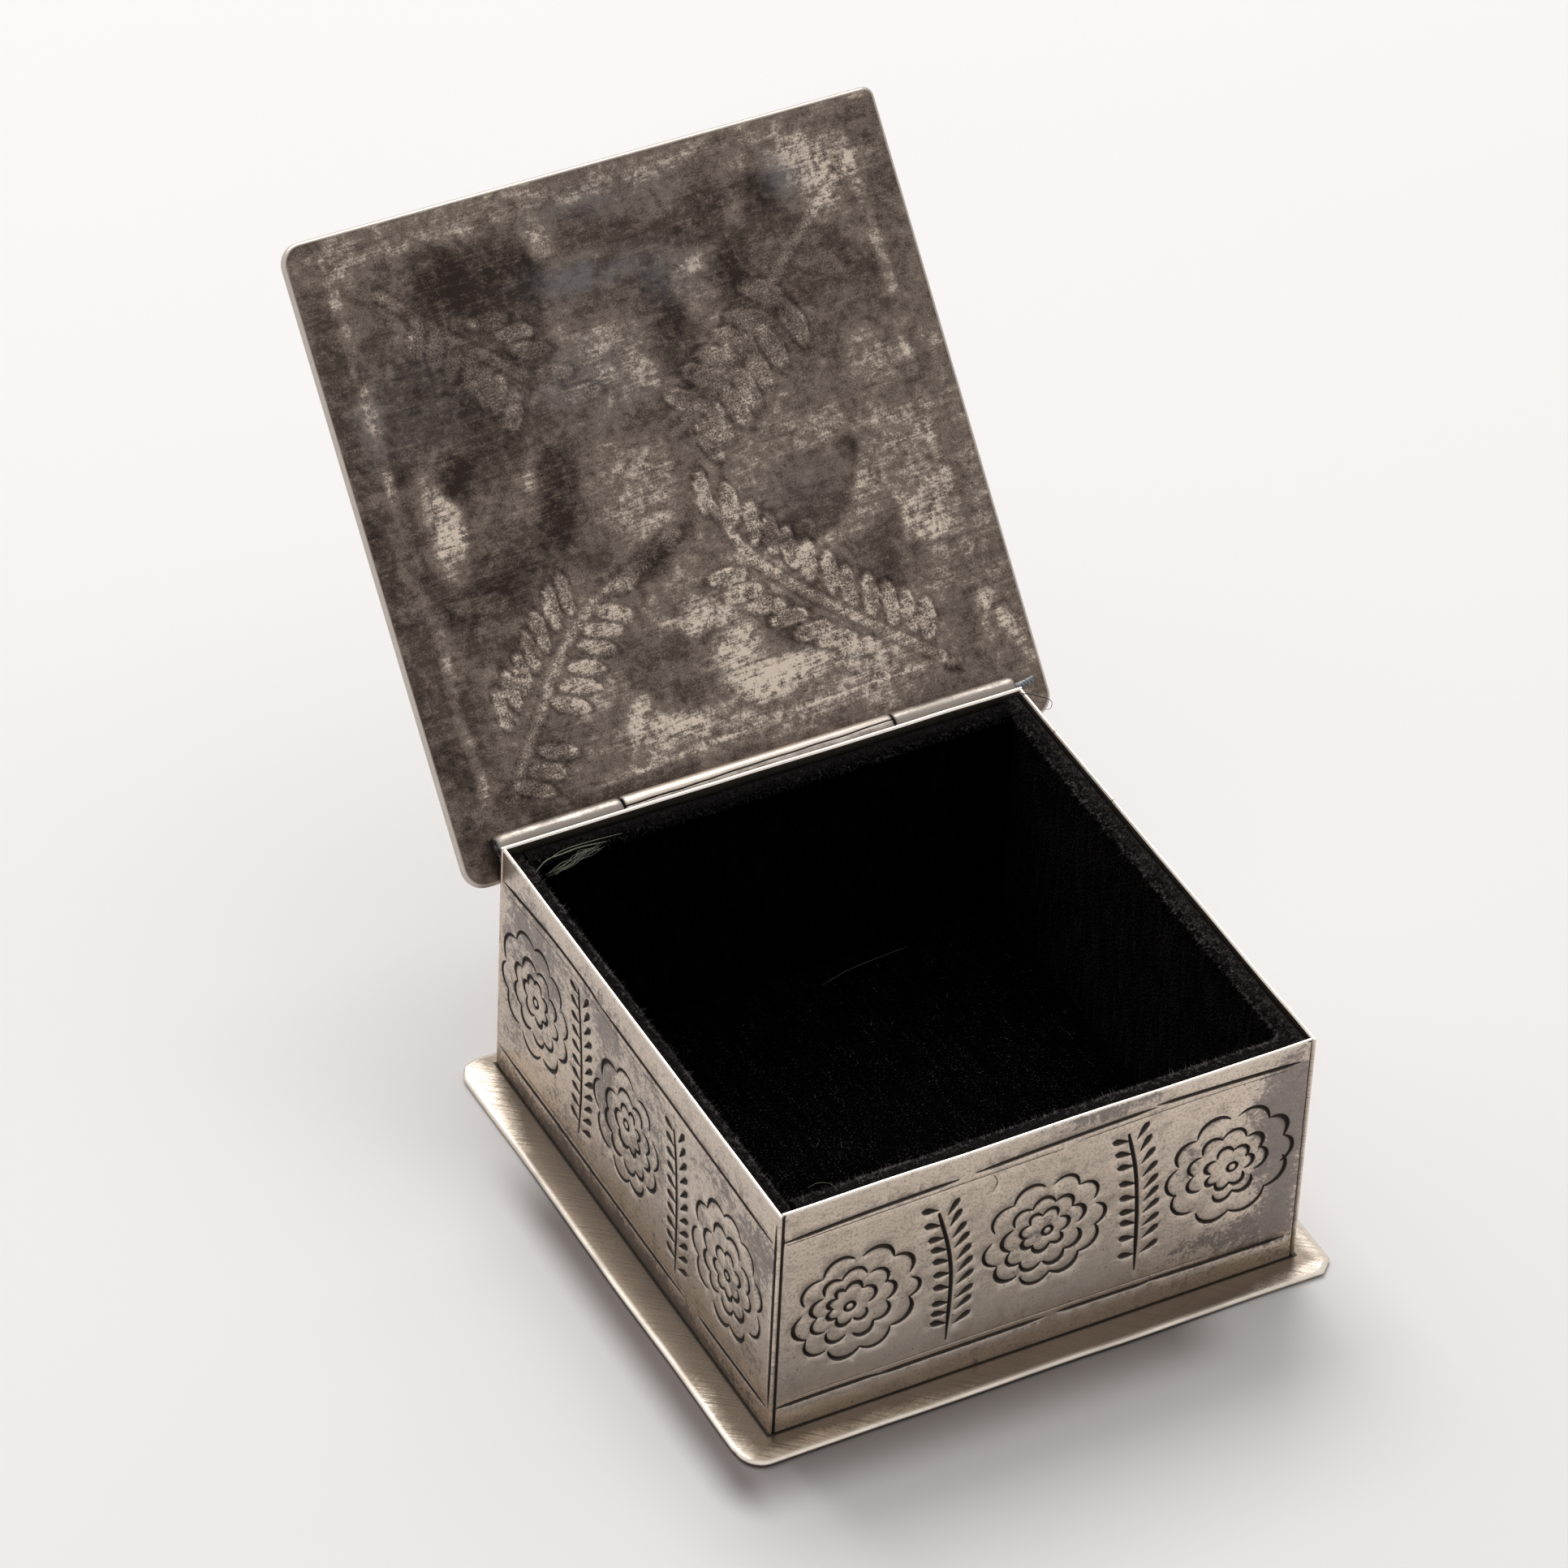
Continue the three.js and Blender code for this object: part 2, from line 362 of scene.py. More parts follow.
    def bump(self, height: object, depth: float) -> bpy.types.NodeSocket:
        """Adds a bump.

        Args:
            height: Height from 0 to 1.
            depth: Its real depth in millimetres.

        Returns:
            The bent normal.
        """
        node = self.add("ShaderNodeBump")
        node.inputs["Distance"].default_value = depth * MM
        self.feed(node.inputs["Height"], height)
        return node.outputs["Normal"]


@dataclass(frozen=True)
class Finish:
    """A finish: its name, main colour and roughness, and how its nodes are joined."""

    name: str
    colour: Colour
    roughness: float
    metal: float = 1.0

    def material(self) -> bpy.types.Material:
        """Gives this finish's material, which is made on first use.

        Returns:
            The material.
        """
        label = "finish_" + self.name
        if label in bpy.data.materials:
            return bpy.data.materials[label]
        made = bpy.data.materials.new(label)
        made.use_nodes = True
        nodes = Nodes(made.node_tree)
        shader = nodes.surface()
        shader.inputs["Metallic"].default_value = self.metal
        shader.inputs["Roughness"].default_value = self.roughness
        shader.inputs["Base Color"].default_value = (*self.colour, 1.0)
        self.join(nodes, shader)
        return made

    def tint(self, share: float) -> Colour:
        """Gives the main colour, made darker or paler by a share."""
        return tuple(min(1.0, share * part) for part in self.colour)

    def join(self, nodes: Nodes, shader: bpy.types.Node) -> None:
        """Joins the finish's own nodes to its shader."""
        raise NotImplementedError


class Draft:
    """A mesh being drawn in millimetres, with named values at its points."""

    def __init__(self) -> None:
        """Starts with nothing drawn."""
        self.chunks: list[tuple[np.ndarray, dict[str, np.ndarray]]] = []
        self.faces: list[tuple[int, ...]] = []
        self.count = 0

    def add(self, points: np.ndarray, **values: object) -> np.ndarray:
        """Adds points.

        Args:
            points: One row of three millimetre coordinates each.
            **values: Numbers or rows of three numbers kept at the points.

        Returns:
            The points' numbers, for faces.
        """
        points = np.asarray(points, float).reshape(-1, 3)
        kept = {}
        for name, value in values.items():
            value = np.asarray(value, float)
            shape = (len(points), 3) if name == "flat" else (len(points),)
            kept[name] = np.broadcast_to(value, shape)
        self.chunks.append((points, kept))
        self.count += len(points)
        return np.arange(self.count - len(points), self.count)

    def strip(self, first: Sequence[int], second: Sequence[int], closed: bool = False) -> None:
        """Joins two rows of points with four-sided faces.

        Args:
            first: The first row's numbers.
            second: The second row's numbers.
            closed: Whether the rows run round in a ring.
        """
        first, second = list(first), list(second)
        if closed:
            first, second = [*first, first[0]], [*second, second[0]]
        self.faces += list(zip(first, first[1:], second[1:], second))

    def grid(self, rows: Sequence[Sequence[int]], closed: bool = False) -> None:
        """Joins a table of points with four-sided faces."""
        for first, second in zip(rows, rows[1:]):
            self.strip(first, second, closed)

    def piece(self, name: str, finish: Finish, body: Body, slot: Slot, replaces: Sequence[str] = (),
              sharp: float = 40.0, closed: bool = True) -> bpy.types.Object:
        """Makes the drawn mesh into a dressed piece of the box.

        Args:
            name: Name of the piece.
            finish: Its finish.
            body: The body it moves with.
            slot: The record's slot for the piece; not used.
            replaces: CAD nodes it stands for.
            sharp: Angle in degrees from which an edge is shaded sharp.
            closed: Whether it is a closed skin whose faces all turn outwards.

        Returns:
            The new object.
        """
        mesh = bpy.data.meshes.new(name)
        points = np.vstack([chunk for chunk, _ in self.chunks]) * MM
        mesh.from_pydata(points.tolist(), [], [tuple(int(i) for i in face) for face in self.faces])
        for key in sorted({key for _, kept in self.chunks for key in kept}):
            wide = key == "flat"
            rows = [kept.get(key, np.zeros((len(chunk), 3) if wide else len(chunk)))
                    for chunk, kept in self.chunks]
            layer = mesh.attributes.new(key, "FLOAT_VECTOR" if wide else "FLOAT", "POINT")
            layer.data.foreach_set("vector" if wide else "value",
                                   np.concatenate(rows).astype(np.float32).ravel())
        if closed:
            shell = bmesh.new()
            shell.from_mesh(mesh)
            bmesh.ops.recalc_face_normals(shell, faces=shell.faces)
            shell.to_mesh(mesh)
            shell.free()
        mesh.polygons.foreach_set("use_smooth", np.ones(len(mesh.polygons), bool))
        mesh.set_sharp_from_angle(angle=math.radians(sharp))
        mesh.materials.append(finish.material())
        made = bpy.data.objects.new(name, mesh)
        bpy.context.scene.collection.objects.link(made)
        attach(made, body.value)
        if replaces:
            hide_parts(*replaces)
        LOG.info("%s: %d faces on %s", name, len(mesh.polygons), body.value)
        return made


@dataclass(frozen=True)
class Viewpoint:
    """The photograph's camera: its turn, place in its own axes, and focal length in pixels."""

    azimuth: float = -29.564
    elevation: float = 40.046
    roll: float = 2.796
    offset: Place = (-13.976, 48.502, 1083.498)
    focal_pixels: float = 10339.0
    image_pixels: float = 1932.0
    sensor: float = 36.0

    def axes(self) -> np.ndarray:
        """Gives the camera's right, up and back directions, one row each.

        Returns:
            The three directions, one row each.
        """
        a, e, r = np.radians([self.azimuth, self.elevation, self.roll])
        back = np.array([math.sin(a) * math.cos(e), -math.cos(a) * math.cos(e), math.sin(e)])
        right = np.array([math.cos(a), math.sin(a), 0])
        up = np.cross(back, right)
        c, s = math.cos(r), math.sin(r)
        return np.array([c * right + s * up, -s * right + c * up, back])

    def build(self) -> bpy.types.Object:
        """Makes the camera and looks through it.

        Returns:
            The camera.
        """
        axes = self.axes()
        lens = bpy.data.cameras.new("photo_camera")
        lens.sensor_width = self.sensor
        lens.lens = self.focal_pixels / self.image_pixels * self.sensor
        lens.clip_end = 20
        made = bpy.data.objects.new("photo_camera", lens)
        bpy.context.scene.collection.objects.link(made)
        place = (axes.T @ np.array(self.offset) + [0, 0, FLOOR_LEVEL]) * MM
        turn = Matrix(axes.T.tolist()).to_4x4()
        made.matrix_world = Matrix.Translation(Vector(place)) @ turn
        bpy.context.scene.camera = made
        return made


@dataclass(frozen=True)
class FloorPaint(Finish):
    """Matt pale paper under the box, with a painted shadow close to the plate's left and front edges.

    Attributes:
        corner: Where those two edges meet.
        reach: How far the shade of the left edge and of the front edge goes out.
        depth: How deep it is at each of them.
        fade: Where it thins out, along the front edge and along the left edge.
        shadow: The paper's colour under the full painted shadow.
    """

    corner: Point = (-43.2, -42.2)
    reach: Point = (6.5, 10.0)
    depth: Point = (0.80, 0.63)
    fade: tuple[Point, Point] = ((16.0, 27.0), (8.0, 25.0))
    shadow: Colour = (0.060, 0.022, 0.012)

    def join(self, nodes: Nodes, shader: bpy.types.Node) -> None:
        """Joins a faint mottling and the painted shadow.

        Args:
            nodes: Adds and joins the nodes.
            shader: The finish's shader.
        """
        place = nodes.add("ShaderNodeTexCoord").outputs["Object"]
        cloud = nodes.span(nodes.noise(place, 0.35, 3.0), 0.3, 0.7)
        darker = self.tint(0.985)
        paper = nodes.blend(cloud, self.colour, darker)
        # The paper is blended towards its shadow colour: a painted shadow along the plate's left and front
        # edges.
        nodes.feed(shader.inputs["Base Color"], nodes.blend(self.shade(nodes, place), paper, self.shadow))
        shader.inputs["Specular IOR Level"].default_value = 0.15

    def shade(self, nodes: Nodes, place: bpy.types.NodeSocket) -> bpy.types.NodeSocket:
        """Makes the painted shadow that lies along the plate's edges.

        Args:
            nodes: Adds and joins the nodes.
            place: The point on the floor.

        Returns:
            How dark the paper is there, from 0 to 1.
        """
        split = nodes.add("ShaderNodeSeparateXYZ")
        nodes.feed(split.inputs["Vector"], place)
        ways = [nodes.math("DIVIDE", split.outputs[way], MM) for way in (0, 1)]
        squares = []
        for way, corner, reach in zip(ways, self.corner, self.reach):
            out = nodes.math("MAXIMUM", nodes.total((way, -1.0 / reach), base=corner / reach), 0.0)
            squares.append(nodes.math("MULTIPLY", out, out))
        near = nodes.span(nodes.math("SQRT", nodes.math("ADD", *squares)), 0.0, 1.0, 1.0, 0.0)
        deep = nodes.span(ways[0], self.corner[0] - 2.0, self.corner[0] + 2.0, *self.depth)
        dark = nodes.math("MULTIPLY", near, deep)
        for way, fade in zip(ways, self.fade):
            dark = nodes.math("MULTIPLY", dark, nodes.span(way, *fade, 1.0, 0.0))
        return dark


@dataclass(frozen=True)
class Studio:
    """Pale floor, a softbox behind and above the box, and a room that gives less light from the front."""

    floor_half: float = 5000.0
    floor_level: float = -0.02
    key_place: Place = (200.0, 950.0, 1400.0)
    key_size: Point = (1050.0, 800.0)
    key_watts: float = 15.6
    room_dim: float = 0.05
    room_bright: float = 0.92
    bright_way: Place = (0.22, 0.60, 0.77)
    lamp_tint: Colour = (1.0, 0.985, 0.975)
    wall_tint: Colour = (0.92, 0.90, 0.90)
    paper: Finish = FloorPaint("floor_paper", (0.90, 0.885, 0.885), 0.9, 0.0)

    def build(self) -> None:
        """Makes the floor, the lamp and the room's light."""
        reach = self.floor_half * MM
        mesh = bpy.data.meshes.new("studio_floor")
        corners = [(-reach, -reach), (reach, -reach), (reach, reach), (-reach, reach)]
        mesh.from_pydata([(x, y, self.floor_level * MM) for x, y in corners], [], [(0, 1, 2, 3)])
        mesh.materials.append(self.paper.material())
        floor = bpy.data.objects.new("studio_floor", mesh)
        bpy.context.scene.collection.objects.link(floor)
        self.softbox("rear_softbox", self.key_place, self.key_size, self.key_watts)
        self.room()
        bpy.context.scene.view_settings.view_transform = "Standard"

    def softbox(self, name: str, where: Place, size: Point, watts: float) -> None:
        """Hangs a softbox and aims it at the box.

        Args:
            name: Its name.
            where: Its middle.
            size: Its width and height.
            watts: Its power.
        """
        light = bpy.data.lights.new(name, "AREA")
        light.shape = "RECTANGLE"
        light.size = size[0] * MM
        light.size_y = size[1] * MM
        light.energy = watts
        light.color = self.lamp_tint
        lamp = bpy.data.objects.new(name, light)
        bpy.context.scene.collection.objects.link(lamp)
        place = Vector(where) * MM
        aim = (Vector((0, 0, 0.02)) - place).to_track_quat("-Z", "Y").to_matrix().to_4x4()
        lamp.matrix_world = Matrix.Translation(place) @ aim
        lamp.visible_camera = False

    def room(self) -> None:
        """Lights the room from behind, and shows the camera and the metal a pale wall."""
        world = bpy.data.worlds.new("studio_room")
        bpy.context.scene.world = world
        world.use_nodes = True
        nodes = Nodes(world.node_tree)
        way = nodes.add("ShaderNodeVectorMath", operation="DOT_PRODUCT")
        nodes.feed(way.inputs[0], nodes.add("ShaderNodeTexCoord").outputs["Generated"])
        way.inputs[1].default_value = self.bright_way
        level = nodes.span(way.outputs["Value"], -0.06, 0.93, self.room_dim, self.room_bright)
        path = nodes.add("ShaderNodeLightPath").outputs
        mirrored = nodes.math("MAXIMUM", path["Is Glossy Ray"], path["Is Transmission Ray"])
        seen = nodes.math("MAXIMUM", path["Is Camera Ray"], mirrored)
        tint = nodes.blend(seen, self.lamp_tint, self.wall_tint)
        bare = nodes.math("SUBTRACT", 1.0, seen)
        strength = nodes.math("ADD", nodes.math("MULTIPLY", level, bare), seen)
        shader = nodes.add("ShaderNodeBackground")
        nodes.feed(shader.inputs["Color"], tint)
        nodes.feed(shader.inputs["Strength"], strength)
        output = nodes.add("ShaderNodeOutputWorld")
        nodes.feed(output.inputs["Surface"], shader.outputs["Background"])


@dataclass(frozen=True)
class StampedSilver(Finish):
    """Warm worn silver sheet: black oxide and painted shade in the struck marks, grey bloom, painted paler
    patches, fine scratches.
    """

    bloom: Colour = (0.165, 0.143, 0.137)
    oxide: Colour = (0.036, 0.029, 0.025)
    bright: Colour = (0.76, 0.69, 0.61)
    pit: Colour = (0.10, 0.075, 0.06)

    def join(self, nodes: Nodes, shader: bpy.types.Node) -> None:
        """Joins bloom, oxide with painted shade, rubbed edges with painted paler patches, pits and
        scratches.

        Args:
            nodes: Adds and joins the nodes.
            shader: The finish's shader.
        """
        place = nodes.flat()
        cloud = nodes.noise(place, 8.0, 6.0, 0.66, 0.8)
        patch = nodes.noise(place, 2.3, 6.0, 0.7, 0.5)
        grain = nodes.noise(place, 0.40, 3.0, 0.6)
        hair = nodes.noise(nodes.flat((0.05, 3.4, 1.0), 14.0), 0.9, 3.0, 0.6)
        cross = nodes.noise(nodes.flat((0.06, 3.0, 1.0), -41.0), 1.0, 3.0, 0.6)
        flake = nodes.noise(place, 1.0, 5.0, 0.75, 0.4)
        stain = nodes.total((nodes.kept("tarnish"), 1.0), (cloud, 1.1), (patch, 1.1), (flake, 1.1),
                            (grain, 0.5))
        amount = nodes.total((nodes.span(stain, 2.24, 2.46), 0.46), (nodes.span(stain, 1.75, 2.75), 0.36))
        paler = self.tint(1.14)
        darker = self.tint(0.52)
        colour = nodes.blend(nodes.span(cloud, 0.35, 0.65), self.colour, paler)
        colour = nodes.blend(nodes.span(patch, 0.48, 0.70, 0.0, 0.6), colour, darker)
        colour = nodes.blend(nodes.span(grain, 0.47, 0.68, 0.0, 0.7), colour, darker)
        colour = nodes.blend(nodes.span(hair, 0.63, 0.70, 0.0, 0.5), colour, darker)
        colour = nodes.blend(nodes.span(cross, 0.66, 0.72, 0.0, 0.5), colour, darker)
        # Rubbed edges, and paler patches that are painted light by the front wall's foot.
        colour = nodes.blend(nodes.kept("rub"), colour, self.bright)
        colour = nodes.blend(amount, colour, self.bloom)
        speck = nodes.span(nodes.noise(place, 0.55, 2.0, 0.5), 0.69, 0.75, 0.0, 0.7)
        colour = nodes.blend(speck, colour, self.pit)
        # The struck marks' oxide, with painted shade in the hollows beside the crescents.
        groove = nodes.span(nodes.kept("groove"), 0.08, 0.80)
        nodes.feed(shader.inputs["Base Color"], nodes.blend(groove, colour, self.oxide))
        rough = nodes.total((groove, 0.25), (amount, 0.14), (hair, 0.12), base=self.roughness - 0.06)
        nodes.feed(shader.inputs["Roughness"], rough)
        height = nodes.total((grain, 0.55), (hair, 0.45), (cross, 0.35), (patch, 0.4))
        nodes.feed(shader.inputs["Normal"], nodes.bump(height, 0.022))


@dataclass
class Stroke:
    """One mark struck into a wall: a spine with a half width at each point, and its depth."""

    spine: np.ndarray
    half: np.ndarray
    depth: float = 0.30
    lip: float = 0.05
    shoulder: float = 0.10
    fade: float = 0.0

    def inner(self) -> np.ndarray:
        """Gives the line along which the hollow at the mark's left side runs out.

        Returns:
            One place for each point of the spine.
        """
        way = np.gradient(self.spine, axis=0)
        way /= np.linalg.norm(way, axis=1)[:, None]
        across = np.column_stack([-way[:, 1], way[:, 0]])
        return self.spine + across * (self.half * (1 + self.fade / self.half.max()))[:, None]

    def sides(self, extra: float) -> np.ndarray:
        """Gives the closed line round the mark.

        Args:
            extra: How far outside the mark's own edge it runs.

        Returns:
            The line's points.
        """
        way = np.gradient(self.spine, axis=0)
        way /= np.linalg.norm(way, axis=1)[:, None]
        across = np.column_stack([-way[:, 1], way[:, 0]]) * (self.half + extra)[:, None]
        tip = self.spine[-1] + way[-1] * (self.half[-1] + extra)
        tail = self.spine[0] - way[0] * (self.half[0] + extra)
        return np.vstack([self.spine + across, tip, (self.spine - across)[::-1], tail])

    def sink(self, points: np.ndarray, depth: np.ndarray, groove: np.ndarray) -> None:
        """Presses the mark into a face.

        Args:
            points: The face's points.
            depth: Depth at each point, which is deepened here.
            groove: Share of oxide at each point, which is raised here.
        """
        reach = float(self.half.max()) + max(self.shoulder, self.fade) + 0.01
        low, high = self.spine.min(0) - reach, self.spine.max(0) + reach
        near = np.nonzero(np.all((points > low) & (points < high), axis=1))[0]
        start, run = self.spine[:-1], np.diff(self.spine, axis=0)
        gap = points[near][:, None] - start
        share = np.clip((gap * run).sum(2) / np.maximum((run ** 2).sum(1), 1e-9), 0, 1)
        far = np.linalg.norm(gap - share[:, :, None] * run, axis=2)
        half = self.half[:-1] + share * np.diff(self.half)
        best = np.argmin(far / half, axis=1)
        rows = np.arange(len(near))
        far, half, gap, run = far[rows, best], half[rows, best], gap[rows, best], run[best]
        inside = np.clip(1 - far / half, 0, 1)
        slope = np.clip(1 - (far - half) / self.shoulder, 0, 1)
        full = self.depth * np.clip(half / 0.22, 0.45, 1.0)
        depth[near] = np.maximum(depth[near], np.where(far < half + 1e-6, self.lip
                                                       + (full - self.lip) * inside, self.lip * slope))
        groove[near] = np.maximum(groove[near], np.where(far < half - 1e-4, 1.0, 0.6 * slope))
        # The hollow beside a crescent is sunk and darkened: oxide in it and painted shade on its slope.
        if self.fade:
            left = run[:, 0] * gap[:, 1] > run[:, 1] * gap[:, 0]
            hollow = left * np.clip(1 - (far - half) * self.half.max() / (self.fade * half), 0, 1)
            depth[near] = np.maximum(depth[near], 0.09 * hollow)
            groove[near] = np.maximum(groove[near], 0.50 * hollow)


@dataclass(frozen=True)
class Petals:
    """One ring of struck crescents: its shift from the rosette's middle, radius and angles."""

    shift: Point
    radius: float
    arcs: tuple[Point, ...]
    drop: float

    def strokes(self, middle: Point) -> Iterator[Stroke]:
        """Draws the ring's crescents, each bulging outwards.

        Args:
            middle: The rosette's middle on the wall.

        Yields:
            One stroke for each crescent.
        """
        for start, end in self.arcs:
            t = np.linspace(0, 1, 11)
            angle = np.radians(start + (end - start) * t)
            radius = self.radius - self.drop * np.abs(2 * t - 1) ** 2.2
            spine = np.column_stack([middle[0] + self.shift[0] + radius * np.cos(angle),
                                     middle[1] + self.shift[1] + radius * np.sin(angle)])
            press = 1 + 0.22 * math.sin(7.1 * start + middle[0])
            yield Stroke(spine, 0.06 + 0.21 * press * np.sin(math.pi * t) ** 0.7, fade=0.75 * press)


@dataclass(frozen=True)
class Rosette:
    """A flower of three rings of crescents about an eye, from its middle below the rim."""

    x: float
    below: float
    eye: Point
    rings: tuple[Petals, ...]

    def strokes(self) -> Iterator[Stroke]:
        """Draws the rings and the eye.

        Yields:
            One stroke for each mark.
        """
        middle = (self.x, WALL_HEIGHT - self.below)
        for ring in self.rings:
            yield from ring.strokes(middle)
        turn = np.linspace(0, 2 * math.pi, 15)
        spine = np.column_stack([self.eye[0] + 0.72 * np.cos(turn),
                                 WALL_HEIGHT - self.eye[1] + 0.72 * np.sin(turn)])
        yield Stroke(spine, np.full(15, 0.2))


@dataclass(frozen=True)
class Sprig:
    """A chased stem with a row of punched leaves down each side, from depths below the rim."""

    stem: tuple[Point, ...]
    left: tuple[float, ...]
    right: tuple[float, ...]

    def stem_at(self, below: float) -> float:
        """Gives the stem's place along the wall at a depth below the rim."""
        line = curve_through(self.stem, 0.5)
        return float(np.interp(below, line[:, 1], line[:, 0]))

    def strokes(self) -> Iterator[Stroke]:
        """Draws the stem, the slanted leaves at its left and the rising ones at its right.

        Yields:
            One stroke for each mark.
        """
        line = curve_through(self.stem, 0.9)
        t = np.linspace(0, 1, len(line))
        half = 0.09 + 0.19 * np.minimum(1, 5 * (1 - t)) * np.minimum(1, 0.45 + 6 * t)
        yield Stroke(np.column_stack([line[:, 0], WALL_HEIGHT - line[:, 1]]), half)
        for number, below in enumerate(self.left):
            tilt = math.radians(15 + 5 * math.sin(2.3 * number))
            yield self.leaf(self.stem_at(below) - 1.25, below, math.pi - tilt, 2.35, 0.60)
        for number, below in enumerate(self.right):
            share = (below - self.right[0]) / (self.right[-1] - self.right[0])
            tilt = math.radians(58 - 30 * share + 4 * math.sin(1.7 * number))
            yield self.leaf(self.stem_at(below) + 2.0, below, tilt, 2.7, 0.55)

    @staticmethod
    def leaf(x: float, below: float, angle: float, length: float, half: float) -> Stroke:
        """Draws one leaf, narrow at the stem and wide at its outer end.

        Args:
            x: Its middle along the wall.
            below: Its middle below the rim.
            angle: The way it points, from the stem outwards.
            length: Its length.
            half: Half its width at the outer end.

        Returns:
            The stroke.
        """
        t = np.linspace(-0.5, 0.40, 5)
        spine = np.column_stack([x + t * length * math.cos(angle),
                                 WALL_HEIGHT - below + t * length * math.sin(angle)])
        return Stroke(spine, np.interp(t, [-0.5, 0.0, 0.28, 0.40], [0.06, half * 0.72, half, half * 0.8]))


@dataclass(frozen=True)
class Ornament:
    """All that is struck into one wall, where it is in bloom, and where it is painted paler.

    Each patch of bloom or of paler metal is a place along the wall and below its rim, a half width, a half
    height and an amount. The paler patches by the front wall's foot are painted light that offsets the
    floor's painted shadow seen in the metal.
    """

    rosettes: tuple[Rosette, ...]
    sprigs: tuple[Sprig, ...]
    lines: tuple[tuple[Point, ...], ...]
    bloom: tuple[Patch, ...]
    scribes: tuple[tuple[Point, ...], ...] = ()
    worn: tuple[Patch, ...] = ()

    def strokes(self) -> list[Stroke]:
        """Draws every mark on the wall.

        Returns:
            The marks.
        """
        marks = [mark for part in (*self.rosettes, *self.sprigs) for mark in part.strokes()]
        for line in self.lines:
            spine = curve_through(line, 1.2)
            t = np.linspace(0, 1, len(spine))
            half = 0.07 + 0.23 * np.minimum(1, 9 * np.minimum(t, 1 - t))
            marks.append(Stroke(np.column_stack([spine[:, 0], WALL_HEIGHT - spine[:, 1]]), half, 0.22))
        for line in self.scribes:
            spine = curve_through(line, 3.0)
            marks.append(Stroke(np.column_stack([spine[:, 0], WALL_HEIGHT - spine[:, 1]]),
                                np.full(len(spine), 0.035), 0.09, 0.02, 0.05))
        return marks

    @staticmethod
    def patched(points: np.ndarray, patches: Sequence[Patch]) -> np.ndarray:
        """Gives how far each point of the wall lies in soft patches.

        Args:
            points: Places along the wall and above its foot.
            patches: The patches of bloom or of paler metal.

        Returns:
            The sum of the patches' amounts, from 0.
        """
        below = WALL_HEIGHT - points[:, 1]
        total = np.zeros(len(points))
        for x, depth, wide, tall, amount in patches:
            far = ((points[:, 0] - x) / wide) ** 2 + ((below - depth) / tall) ** 2
            total = total + amount * np.exp(-far)
        return total


